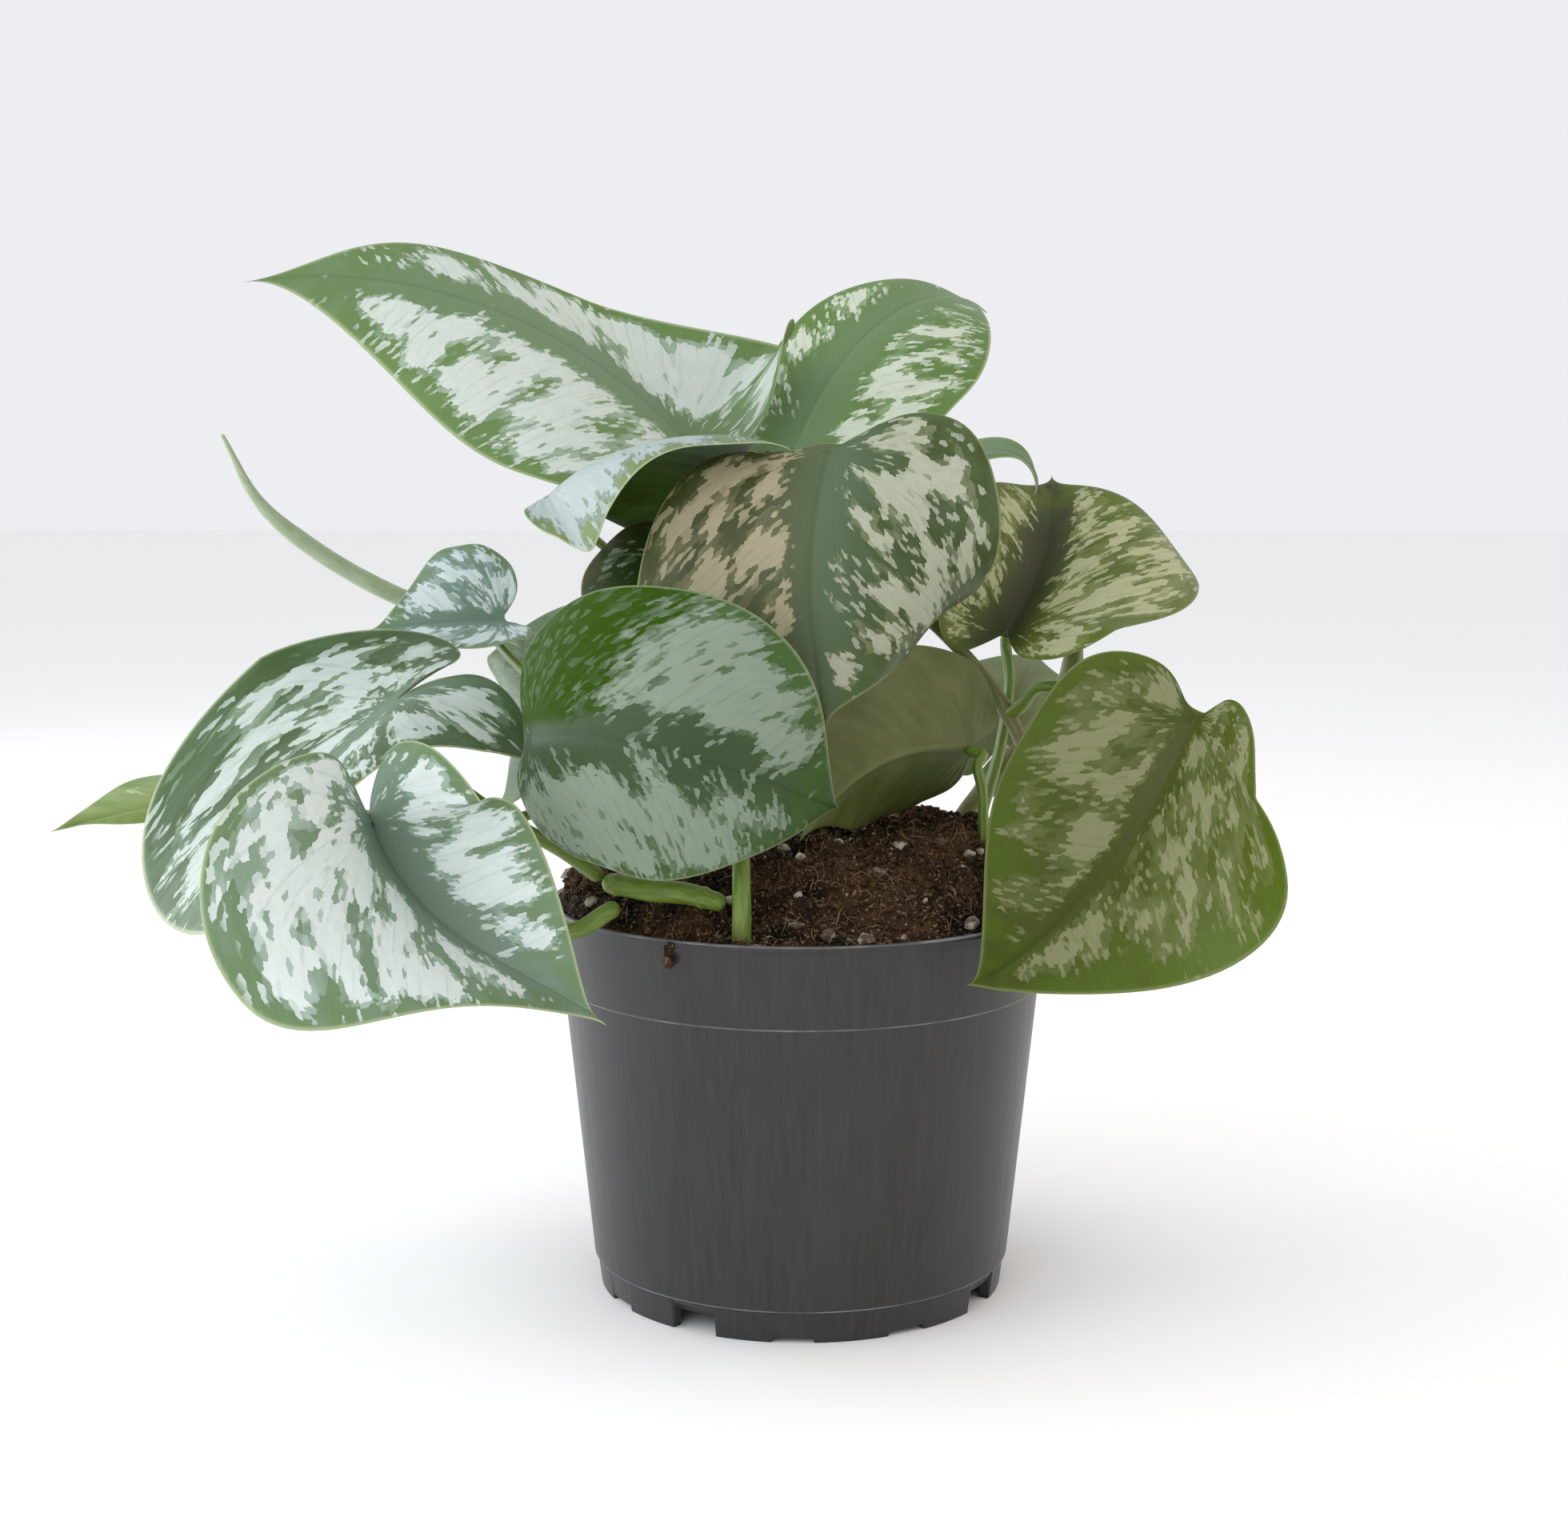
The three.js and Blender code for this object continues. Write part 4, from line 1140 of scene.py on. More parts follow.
@dataclass(frozen=True)
class StalkForm:
    """One stem or stalk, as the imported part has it, measured from the middle of the pot's rim.

    Fields:
        name: The node's name.
        radii: Radii at even shares of its length.
        points: The points that it passes.
        footing: Where it starts.
        leaf: The leaf that it carries, if any.
        stem, share: The stem that it leaves, and at what share of its length.
        joints: Shares of the length where it swells into a leaf joint.
        channel: Depth of the channel on its upper side, as a share of the radius.
    """

    name: str
    radii: tuple[float, ...]
    points: tuple[tuple[float, float, float], ...]
    footing: Footing = Footing.COMPOST
    leaf: str = ""
    stem: str = ""
    share: float = 0.0
    joints: tuple[float, ...] = ()
    channel: float = 0.0


# ---- The plant's own sizes

STEMS = (
    StalkForm(
        name="stem_left",
        radii=(2.6, 1.9),
        points=((-20, 12, 0), (-21, 13, 14), (-25, 16, 30), (-31, 20, 56), (-30, 27, 84)),
        joints=(0.2, 0.36, 0.6, 0.7, 0.93),
    ),
    StalkForm(
        name="stem_right",
        radii=(1.9, 1.6),
        points=(
            (46, 6, 0), (47, 8, 14), (55, 18, 30), (50, 24, 44), (38, 23, 59), (20, 17, 76), (10, 12, 88),
        ),
        joints=(0.42, 0.82, 0.93),
    ),
    StalkForm(
        name="stem_back",
        radii=(2.6, 2.2),
        points=((40, 32, 0), (41, 33, 14), (58, 40, 34), (69, 44, 51), (69, 50, 62), (54, 46, 84)),
        joints=(0.25, 0.62),
    ),
)

CREEPER = StalkForm(
    name="stem_creeping",
    radii=(2.3, 2.7, 2.5, 2.1),
    points=((-42, -41, 10.5), (-33, -43, 9.5), (-25, -45, 9), (-18.5, -48, 7.8)),
    footing=Footing.FREE,
    joints=(0.04, 0.86),
)

STALKS = (
    StalkForm(
        "stalk_front", (2.3, 1.5), ((-13, -50, 0), (-13, -49.5, 10), (-14, -45, 22), (-24, -35, 36)),
        leaf="front", channel=0.3,
    ),
    StalkForm(
        "stalk_backlit", (1.5, 1.3), ((43, -6, 0), (43.5, -5, 12), (43, -2, 26), (42, 0, 32)),
        leaf="backlit", channel=0.3,
    ),
    StalkForm(
        "stalk_right_upper", (1.6, 1.4), ((44, 25, 0), (45, 26, 12), (50, 29, 34), (52, 30, 50)),
        leaf="right_upper", channel=0.3,
    ),
    StalkForm(
        "stalk_top_back", (1.7, 1.4), ((4, 26, 0), (4, 27, 14), (3, 38, 50), (1, 52, 95)),
        leaf="top_back", channel=0.3,
    ),
    StalkForm(
        "stalk_upper_left", (1.5, 1.3), ((-27, 32, 98),), Footing.STEM, "upper_left", "stem_left", 0.93,
        channel=0.3,
    ),
    StalkForm(
        "stalk_folded", (1.3, 1.1), ((-38, 4, 74), (-46, -4, 84)), Footing.STEM, "folded", "stem_left",
        0.6, channel=0.3,
    ),
    StalkForm(
        "stalk_shaded", (1.2, 1.1), ((-27, 2, 74),), Footing.STEM, "shaded", "stem_left", 0.7,
        channel=0.3,
    ),
    StalkForm(
        "stalk_inner_left", (1.3, 1.1), ((-44, 32, 36),), Footing.STEM, "inner_left", "stem_left", 0.36,
        channel=0.3,
    ),
    StalkForm(
        "stalk_small_left", (1.6, 1.4), ((-46, 14, 34), (-66, 24, 50)), Footing.STEM, "small_left",
        "stem_left", 0.26, channel=0.4,
    ),
    StalkForm(
        "stalk_left_behind", (1.5, 1.2), ((-58, 34, 17), (-84, 34, 12), (-112, 34, 15)), Footing.STEM,
        "left_behind", "stem_left", 0.2, channel=0.3,
    ),
    StalkForm(
        "stalk_centre", (1.5, 1.4), ((6, -8, 94),), Footing.STEM, "centre", "stem_right", 0.93,
        channel=0.3,
    ),
    StalkForm(
        "stalk_right_front", (1.5, 1.3), ((58, 17, 49), (76, 2, 47)), Footing.STEM, "right_front",
        "stem_right", 0.42, channel=0.3,
    ),
    StalkForm(
        "stalk_curled", (1.2, 1.0), ((24, 12, 84),), Footing.STEM, "curled", "stem_right", 0.82,
        channel=0.3,
    ),
    StalkForm(
        "stalk_pale_back", (1.4, 1.2), ((47, 43, 24),), Footing.STEM, "pale_back", "stem_back", 0.25,
        channel=0.3,
    ),
    StalkForm(
        "stalk_lower_left", (2.1, 1.5),
        ((-42, -46, 5.6), (-50, -48, 1.5), (-66, -50, 4), (-84, -56, 20)), Footing.FREE, "lower_left",
        channel=0.35,
    ),
    StalkForm(
        "stalk_left_side", (2.0, 1.4), ((-46, -36, 12), (-53, -36, 17), (-70, -32, 26), (-86, -26, 38)),
        Footing.FREE, "left_side", channel=0.35,
    ),
)

ROLLED_LEAF = StalkForm(
    name="leaf_rolled",
    radii=(1.5, 2.4, 2.2, 0.5),
    points=((-73, 50, 58), (-86, 51, 63), (-102, 46, 69), (-121, 36, 81), (-134, 27, 94), (-141, 21, 110)),
    footing=Footing.FREE,
)

# These repeat the imported part's leaf table. Nearly all of its values were found by a
# least-squares program and rounded, not chosen by hand.
LEAVES = (
    LeafForm(
        name="upper_left",
        joint=(-28, 34, 108),
        heading=-162, pitch=46, roll=-28,
        length=118, widths=(43, 24), widest=0.31, lobes=(20, 20),
        arch=53, bias=0.23, sway=23, twist=-37, lift=39,
        folds=(0, -3), curls=((13, 26), (25, 31)), waves=((-4, 82), (30, 236), (20, 258)),
    ),
    LeafForm(
        name="top_back",
        joint=(-1, 47, 109),
        heading=8, pitch=67, roll=43,
        length=83, widths=(20, 34), widest=0.36, lobes=(10, 9),
        arch=99, bias=0.36, sway=-6, twist=3, lift=10,
        folds=(15, -2), curls=((15, 26), (16, 19)), waves=(),
    ),
    LeafForm(
        name="folded",
        joint=(-57, -20, 96),
        heading=-12, pitch=39, roll=-3,
        length=61, widths=(32, 19), widest=0.3, lobes=(-4, 4),
        arch=57, bias=-0.01, sway=-13, twist=5, lift=11,
        folds=(-28, -2), curls=((27, 18), (18, 17)), waves=((3, 116), (-16, 268)),
    ),
    LeafForm(
        name="shaded",
        joint=(-26, -19, 81),
        heading=-153, pitch=-32, roll=-31,
        length=32, widths=(12, 20), widest=0.31, lobes=(4, 4),
        arch=22, bias=0.01, sway=15, twist=3, lift=10,
        folds=(9, 13), curls=((15, 20), (17, 24)), waves=(),
    ),
    LeafForm(
        name="centre",
        joint=(6, -34, 106),
        heading=-121, pitch=-59, roll=-22,
        length=63, widths=(47, 40), widest=0.66, lobes=(16, -3),
        arch=47, bias=0.14, sway=28, twist=-16, lift=-1,
        folds=(-5, -8), curls=((17, 94), (3, 27)), waves=(),
    ),
    LeafForm(
        name="front",
        joint=(-58, -56, 45),
        heading=-48, pitch=13, roll=68,
        length=86, widths=(34, 30), widest=0.38, lobes=(8, 8),
        arch=126, bias=-0.08, sway=-23, twist=-4, lift=-6,
        folds=(5, -21), curls=((11, -18), (29, 17)), waves=(),
    ),
    LeafForm(
        name="backlit",
        joint=(40, 6, 35),
        heading=-138, pitch=12, roll=81,
        length=63, widths=(25, 22), widest=0.3, lobes=(13, 5),
        arch=17, bias=0.01, sway=-52, twist=2, lift=14,
        folds=(25, 34), curls=((-2, 23), (-2, 23)), waves=(),
    ),
    LeafForm(
        name="lower_left",
        joint=(-90, -71, 29),
        heading=8, pitch=-76, roll=33,
        length=69, widths=(32, 57), widest=0.29, lobes=(19, 22),
        arch=-47, bias=-2.33, sway=-5, twist=10, lift=19,
        folds=(87, 34), curls=((-6, 23), (91, 30)), waves=(),
    ),
    LeafForm(
        name="left_side",
        joint=(-93, -25, 49),
        heading=-142, pitch=-34, roll=17,
        length=76, widths=(30, 61), widest=0.32, lobes=(24, 30),
        arch=20, bias=-0.05, sway=38, twist=11, lift=-29,
        folds=(2, 3), curls=((34, 19), (-47, 14)), waves=((-22, 117), (6, 287)),
    ),
    LeafForm(
        name="left_behind",
        joint=(-136, 28, 21),
        heading=-157, pitch=0, roll=-28,
        length=51, widths=(6, 18), widest=0.31, lobes=(10, 10),
        arch=15, bias=0, sway=4, twist=-5, lift=10,
        folds=(-9, -6), curls=((19, 19), (22, 18)), waves=(),
    ),
    LeafForm(
        name="small_left",
        joint=(-76, 38, 64),
        heading=-156, pitch=0, roll=-39,
        length=33, widths=(16, 27), widest=0.29, lobes=(6, 7),
        arch=25, bias=0.01, sway=-21, twist=8, lift=11,
        folds=(25, 23), curls=((2, 18), (30, 21)), waves=(),
    ),
    LeafForm(
        name="inner_left",
        joint=(-58, 36, 45),
        heading=-146, pitch=-40, roll=-20,
        length=42, widths=(15, 37), widest=0.32, lobes=(8, 24),
        arch=67, bias=-0.14, sway=-46, twist=18, lift=11,
        folds=(6, 0), curls=((16, 20), (7, 28)), waves=(),
    ),
    LeafForm(
        name="right_upper",
        joint=(51, 26, 62),
        heading=47, pitch=43, roll=33,
        length=58, widths=(25, 43), widest=0.49, lobes=(15, 12),
        arch=17, bias=0.11, sway=30, twist=3, lift=4,
        folds=(40, 53), curls=((7, 20), (26, 138)), waves=((-2, 267),),
    ),
    LeafForm(
        name="curled",
        joint=(27, 11, 95),
        heading=-18, pitch=39, roll=25,
        length=41, widths=(9, 5), widest=0.31, lobes=(6, 6),
        arch=158, bias=1.3, sway=-6, twist=5, lift=10,
        folds=(11, 7), curls=((13, 21), (11, 20)), waves=(),
    ),
    LeafForm(
        name="right_front",
        joint=(89, -24, 45),
        heading=152, pitch=-68, roll=-86,
        length=95, widths=(54, 33), widest=0.26, lobes=(16, 11),
        arch=-91, bias=-0.05, sway=-6, twist=-20, lift=16,
        folds=(44, 15), curls=((-14, 30), (-11, 28)), waves=((2, 259),),
    ),
    LeafForm(
        name="pale_back",
        joint=(53, 53, 32),
        heading=62, pitch=59, roll=21,
        length=37, widths=(17, 17), widest=0.33, lobes=(13, 6),
        arch=52, bias=0.02, sway=-8, twist=-1, lift=8,
        folds=(11, 9), curls=((7, 17), (10, 19)), waves=(),
    ),
)

COOL = SilveredBlade(
    green="657b56", deep="667c60", rim="5a7832", silver="c6cfc7", ghost="98ab98", cover=0.6, band=6.0,
)
DARK = replace(COOL, green="3a5026", deep="4a6044", rim="30500a", silver="b2beb6", ghost="748a70", cover=0.5)
OLIVE = replace(
    COOL, green="4c5a18", deep="48521e", rim="526a12", silver="8a8c66", ghost="686f40", line="75804e",
    cover=0.44,
)

FACES = {
    "upper_left": replace(
        COOL, green="6a8450", deep="6a8260", cover=0.6, patch=(13.0, 16.0), fringe=0.84, seed=1.0,
    ),
    "top_back": replace(
        COOL, green="58743a", deep="617b54", silver="bfc6b4", ghost="869a72", cover=0.5, band=7.0,
        seed=2.0,
    ),
    "folded": replace(
        COOL, silver="a2aeab", ghost="7c8c88", green="6c7e4c", rim="6c7e4c", cover=0.82, band=3.0,
        fringe=0.7, seed=3.0,
    ),
    # Painted shade: this leaf's colours are the dark ones that it shows in the shadow behind the centre leaf.
    "shaded": replace(
        DARK, green="27360f", deep="24320e", rim="44421c", silver="7d8b79", ghost="4f5e42", cover=0.25,
        line="7a6a4a", seed=4.0,
    ),
    "centre": replace(
        COOL, green="4c5832", deep="62765a", rim="5a6c38", silver="c4c6b4", ghost="848c6c", line="8b946a",
        left="dce0d8", right="d2c6b2", cover=0.46, half=0.35, band=4.5, patch=(11.0, 11.0), seed=5.5,
    ),
    "front": replace(
        COOL, green="3e5232", deep="364a2c", rim="456626", silver="82907e", ghost="64775e", line="83906a",
        cover=0.8, half=0.6, band=7.0, fringe=0.82, flecks=0.22, holes=0.1, sunny=1.0, patch=(9.0, 9.0),
        seed=6.0,
    ),
    "backlit": replace(OLIVE, cover=0.4, seed=7.0),
    "lower_left": replace(
        COOL, green="70876a", deep="748878", silver="d2dbd7", ghost="a0b3a8", cover=0.57, band=7.0,
        fringe=0.86, seed=8.0,
    ),
    "left_side": replace(DARK, deep="58705a", band=6.0, fringe=0.8, seed=9.0),
    "left_behind": replace(
        COOL, green="8a9c68", deep="829458", silver="a9b78c", ghost="94a572", cover=0.2, seed=10.0,
    ),
    "small_left": replace(
        COOL, green="748c80", deep="6a8274", silver="c8d4d6", ghost="97aaa6", cover=0.52, band=3.0,
        patch=(6.0, 8.0), seed=11.0,
    ),
    "inner_left": replace(
        COOL, green="6c7e64", deep="526648", silver="828f79", ghost="6f7d66", cover=0.3, line="8a8168",
        seed=12.0,
    ),
    "right_upper": replace(
        OLIVE, green="56661c", deep="383c20", rim="60741a", silver="acae88", ghost="788048",
        cover=0.46, half=0.8, band=7.0, patch=(5.0, 11.0), fringe=0.86, flecks=0.2, seed=13.0,
    ),
    "curled": replace(COOL, cover=0.3, seed=14.0),
    "right_front": replace(OLIVE, cover=0.4, half=0.9, band=3.0, patch=(13.0, 12.0), seed=15.0),
    "pale_back": replace(
        COOL, green="848b66", deep="727a56", silver="969d80", ghost="888f6c", cover=0.2, seed=16.0,
    ),
}

BACKS = {
    "backlit": LeafBack(green="566030", vein="5f6a38", shade="47521c", glow=0.3),
    "folded": LeafBack(green="3f5c10", vein="557020", shade="2c4408", glow=0.3),
    "pale_back": LeafBack(green="8c9270", vein="9ca27e", shade="7a805c", glow=0.3),
    "inner_left": LeafBack(green="8d9a84", vein="a0a992", shade="7a8872", glow=0.3),
    "curled": LeafBack(green="7c8f52", vein="93a268", shade="68803c"),
}

# ---- Pot and compost


@dataclass
class NurseryPot:
    """The moulded pot, turned as one closed wall with a cut foot band and drain holes.

    Fields, in mm and degrees:
        wall, foot_wall: Thickness of the wall and of the foot band.
        band_height, band_taper, band_step: The rim band, its taper and its step over the wall.
        lip_height, lip_step: The lip at the top.
        foot_height, foot_radius, foot_taper, foot_step: The foot band.
        floor_height, floor_thickness, pad_radius: The floor and the pad under it.
        gap_middle, gap_angle: The gaps in the foot band, one to a quarter.
        notches, notch_angle, notch_height: The shallow notches.
        hole_radius, hole_circle, holes: Drain holes.
        round_edge: Radius of the moulded edges.
        columns: Vertices round the pot.
    """

    wall: float = 1.2
    foot_wall: float = 2.4
    band_height: float = 19.0
    band_taper: float = 2.3
    band_step: float = 0.4
    lip_height: float = 1.2
    lip_step: float = 0.3
    foot_height: float = 7.5
    foot_radius: float = 49.5
    foot_taper: float = 1.0
    foot_step: float = 0.6
    floor_height: float = 5.0
    floor_thickness: float = 1.4
    pad_radius: float = 14.0
    gap_middle: float = -30.0
    gap_angle: float = 13.0
    notches: tuple[float, float] = (-2.0, 30.0)
    notch_angle: float = 11.0
    notch_height: float = 1.2
    hole_radius: float = 4.0
    hole_circle: float = 34.0
    holes: int = 8
    round_edge: float = 0.25
    columns: int = 1440
    finish: MouldedPolypropylene = MouldedPolypropylene()

    def foot_edge(self, angle: Array) -> Array:
        """Height of the foot band's lower edge at angles from the front, in degrees: the floor's
        height in a gap, notch_height in a notch, 0 on a foot, with corners half a degree wide.

        Args:
            angle: Angles in degrees.

        Returns:
            Heights in mm.
        """
        quarter = (angle + 45.0) % 90.0 - 45.0
        gap = np.abs((quarter - self.gap_middle + 45.0) % 90.0 - 45.0)
        edge = self.floor_height * smoothstep(self.gap_angle / 2 + 0.25, self.gap_angle / 2 - 0.25, gap)
        for middle in self.notches:
            away = np.abs((quarter - middle + 45.0) % 90.0 - 45.0)
            half = self.notch_angle / 2
            edge = np.maximum(edge, self.notch_height * smoothstep(half + 0.25, half - 0.25, away))
        return edge

    def profile(self, rim_radius: float, height: float) -> tuple[Array, Array]:
        """Corners of the wall's section from the pad out, up and back in to the floor.

        Args:
            rim_radius: The lip's radius, in mm.
            height: The pot's height, in mm.

        Returns:
            (n, 2) radius and height, and for each whether it is the foot band's lower edge.
        """
        band_foot = height - self.band_height
        band_radius = rim_radius - self.lip_step - self.band_taper
        wall_top, wall_foot = band_radius - self.band_step, self.foot_radius + self.foot_step
        bottom = self.foot_radius - self.foot_taper
        inner_foot = bottom - self.foot_wall
        floor_top = self.floor_height + self.floor_thickness
        share = (floor_top - self.foot_height) / (band_foot - self.foot_height)
        inner_low = wall_foot + (wall_top - wall_foot) * share - self.wall
        rim_inner = rim_radius - self.lip_step - self.wall
        corners = [
            (self.pad_radius, 0, 0), (self.pad_radius, self.floor_height, 0),
            (inner_foot, self.floor_height, 0), (inner_foot, 0, 1), (bottom, 0, 1),
            (self.foot_radius, self.foot_height, 0), (wall_foot, self.foot_height, 0),
            (wall_top, band_foot, 0), (band_radius, band_foot, 0),
            (rim_radius - self.lip_step, height - self.lip_height, 0),
            (rim_radius, height - self.lip_height, 0),
            (rim_radius, height, 0), (rim_inner, height, 0),
            (wall_top - self.wall, band_foot, 0), (inner_low, floor_top, 0),
        ]
        table = np.array(corners, float)
        return table[:, :2], table[:, 2] > 0

    def rounded(self, corners: Array, lower: Array) -> tuple[Array, Array]:
        """Round every corner of the section with a curve (1-u)^2 a + 2(1-u)u b + u^2 c whose ends
        lie round_edge, or a third of the side, from the corner.

        Args:
            corners: (n, 2) radius and height.
            lower: Which are on the foot band's lower edge.

        Returns:
            The same two for the rounded section, four points to a corner.
        """
        before, after = np.roll(corners, 1, 0), np.roll(corners, -1, 0)
        before[0], after[-1] = [0.0, corners[0, 1]], [0.0, corners[-1, 1]]
        back, on = before - corners, after - corners
        back_length = np.linalg.norm(back, axis=1, keepdims=True)
        on_length = np.linalg.norm(on, axis=1, keepdims=True)
        start = corners + back / back_length * np.minimum(self.round_edge, back_length / 3)
        end = corners + on / on_length * np.minimum(self.round_edge, on_length / 3)
        u = np.linspace(0.0, 1.0, 4)[None, :, None]
        curve = (1 - u) ** 2 * start[:, None] + 2 * (1 - u) * u * corners[:, None] + u**2 * end[:, None]
        return curve.reshape(-1, 2), np.repeat(lower, 4)

    def build(self) -> Piece:
        """Turn the section round the axis, raise the foot band's edge in its gaps and notches, and
        drill the floor.

        Returns:
            The piece.
        """
        high = np.array(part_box("nursery_pot")[1]) / MM
        corners, lower = self.profile(float(high[0]), float(high[2]))
        section, is_lower = self.rounded(corners, lower)
        angle = np.linspace(0.0, 2 * np.pi, self.columns, endpoint=False)
        edge = self.foot_edge(np.degrees(angle) + 90.0)
        z = section[:, 1][:, None] + np.zeros(self.columns)
        raised = np.where(is_lower[:, None], np.minimum(z + edge, self.floor_height), z)
        radius = section[:, :1]
        grid = np.stack([radius * np.cos(angle), radius * np.sin(angle), raised], axis=-1)
        rows = len(section)
        poles = np.array([[0.0, 0.0, 0.0], [0.0, 0.0, section[-1, 1]]])
        vertices = np.vstack([grid.reshape(-1, 3), poles])
        caps = end_fans(rows, self.columns)
        material = self.finish.material()
        piece = write_mesh("pot_moulded", vertices, [grid_quads(rows, self.columns), caps], [material])
        self.drill(piece, material)
        return piece

    def drill(self, piece: Piece, material: Material) -> None:
        """Cut the drain holes with one mesh of upright cylinders, and keep the cut in the mesh.

        Args:
            piece: The pot.
            material: Its material.
        """
        sides = 32
        turn = np.linspace(0.0, 2 * np.pi, sides, endpoint=False)
        ring = np.column_stack([np.cos(turn), np.sin(turn)]) * self.hole_radius
        where = 2 * np.pi * np.arange(self.holes) / self.holes
        middles = np.column_stack([np.cos(where), np.sin(where)]) * self.hole_circle
        flat = middles[:, None] + ring
        low = np.dstack([flat, np.full(flat.shape[:2], -2.0)])
        high = np.dstack([flat, np.full(flat.shape[:2], self.floor_height * 3)])
        vertices = np.concatenate([low, high], axis=1).reshape(-1, 3)
        first = np.arange(self.holes)[:, None, None] * 2 * sides
        walls = (grid_quads(2, sides)[None] + first).reshape(-1, 4)
        floor = (np.arange(sides)[::-1] + first[:, 0]).reshape(self.holes, sides)
        roof = (np.arange(sides) + sides + first[:, 0]).reshape(self.holes, sides)
        cutter = write_mesh("drill", vertices, [walls, np.vstack([floor, roof])], [material])
        cut = piece.modifiers.new("drain_holes", "BOOLEAN")
        cut.object, cut.operation, cut.solver = cutter, "DIFFERENCE", "EXACT"
        graph = bpy.context.evaluated_depsgraph_get()
        drilled = bpy.data.meshes.new_from_object(piece.evaluated_get(graph))
        piece.modifiers.clear()
        piece.data = drilled
        bpy.data.objects.remove(cutter)


@dataclass
class Compost:
    """The mound of peat, its loose crumbs, perlite grains and root fibres.

    Fields, in mm unless said:
        clearance: Gap to the pot's wall.
        below_rim, crown, edge_power, front, lump: Shape of the mound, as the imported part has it;
            front is where along Y it starts to rise and where it is full.
        rings, columns: Vertices of the mound from rim to middle and round it.
        crumbs, grains, fibres: How many of each.
        spill: Where crumbs hang over the lip, as an angle in degrees from +X.
        foot_radius, band: Radius at the foot, and radius and height where the rim band starts.
    """

    clearance: float = 0.3
    below_rim: float = 2.5
    crown: float = 19.5
    edge_power: float = 8.0
    front: tuple[float, float] = (-62.0, -5.0)
    lump: float = 0.6
    rings: int = 110
    columns: int = 420
    crumbs: int = 7000
    grains: int = 240
    fibres: int = 520
    spill: float = 241.5
    foot_radius: float = 47.8
    band: tuple[float, float] = (54.4, 74.0)
    peat: PeatCompost = PeatCompost()
    perlite: ExpandedGrain = ExpandedGrain()
    fibre: RootFibre = RootFibre()

    def __post_init__(self) -> None:
        """Read the pot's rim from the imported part."""
        high = np.array(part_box("nursery_pot")[1]) / MM
        self.rim_radius, self.rim_height = float(high[0]), float(high[2])
        self.inner_radius = self.rim_radius - 1.5

    def mound(self, x: Array, y: Array) -> Array:
        """Height of the mound: rim - below_rim + crown * fill * front rise + lumps * fill, where
        fill is 1 - r^edge_power, r the share of the pot's inner radius, and the front rise is a
        smooth step along Y.

        Args:
            x: Place along X, in mm.
            y: Place along Y, in mm.

        Returns:
            Heights in mm.
        """
        share = np.minimum(1.0, np.hypot(x, y) / self.inner_radius)
        fill = 1.0 - share**self.edge_power
        lumpy = np.sin(x * 0.31) * np.cos(y * 0.27) + np.sin(x * 0.13 + y * 0.19)
        rise = self.crown * fill * smoothstep(*self.front, y)
        return self.rim_height - self.below_rim + rise + self.lump * fill * lumpy

    def crumbled(self, x: Array, y: Array) -> Array:
        """The mound with clods of about 9, 4 and 1.8 mm on it.

        Args:
            x: Place along X, in mm.
            y: Place along Y, in mm.

        Returns:
            Heights in mm.
        """
        flat = np.stack([x, y, np.zeros_like(x)], axis=-1)
        clods = 0.8 * lumps(flat, 11.0, 1) + 0.7 * np.abs(lumps(flat, 5.0, 2)) + 0.3 * lumps(flat, 2.0, 3)
        share = np.minimum(1.0, np.hypot(x, y) / self.inner_radius)
        return self.mound(x, y) + clods * (1.0 - 0.5 * share**8)

    def build(self) -> list[Piece]:
        """Make the mound and what lies on it.

        Returns:
            The mound first, then the loose pieces.
        """
        peat = self.peat.material()
        pieces = [self.body(peat)]
        pieces.append(self.scatter("peat_crumbs", self.crumbs, (0.35, 1.5), 0.8, 11, peat))
        perlite = self.perlite.material()
        pieces.append(self.scatter("perlite_grains", self.grains, (0.45, 2.4), 0.85, 12, perlite))
        pieces.append(self.spilled(peat))
        pieces.append(self.roots())
        return pieces

    def body(self, peat: Material) -> Piece:
        """A closed solid: the crumbled top over the plain cone that fills the pot.

        Args:
            peat: The material.

        Returns:
            The piece.
        """
        angle = np.linspace(0.0, 2 * np.pi, self.columns, endpoint=False)
        top = np.linspace(1.0, 0.0, self.rings, endpoint=False) * (self.inner_radius - self.clearance * 2)
        x, y = top[:, None] * np.cos(angle), top[:, None] * np.sin(angle)
        crust = np.stack([x, y, self.crumbled(x, y)], axis=-1)
        low = np.array(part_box("potting_soil")[0]) / MM
        sides = np.array([[self.foot_radius, float(low[2])], self.band])
        heights = np.repeat(sides[:, 1:], self.columns, 1)
        wall = np.stack([sides[:, :1] * np.cos(angle), sides[:, :1] * np.sin(angle), heights], axis=-1)
        grid = np.concatenate([wall, crust])
        middle = np.zeros(1)
        poles = np.array([[0, 0, low[2]], [0, 0, self.crumbled(middle, middle)[0]]])
        rows = len(grid)
        caps = end_fans(rows, self.columns)
        vertices = np.vstack([grid.reshape(-1, 3), poles])
        return write_mesh("compost_mound", vertices, [grid_quads(rows, self.columns), caps], [peat])

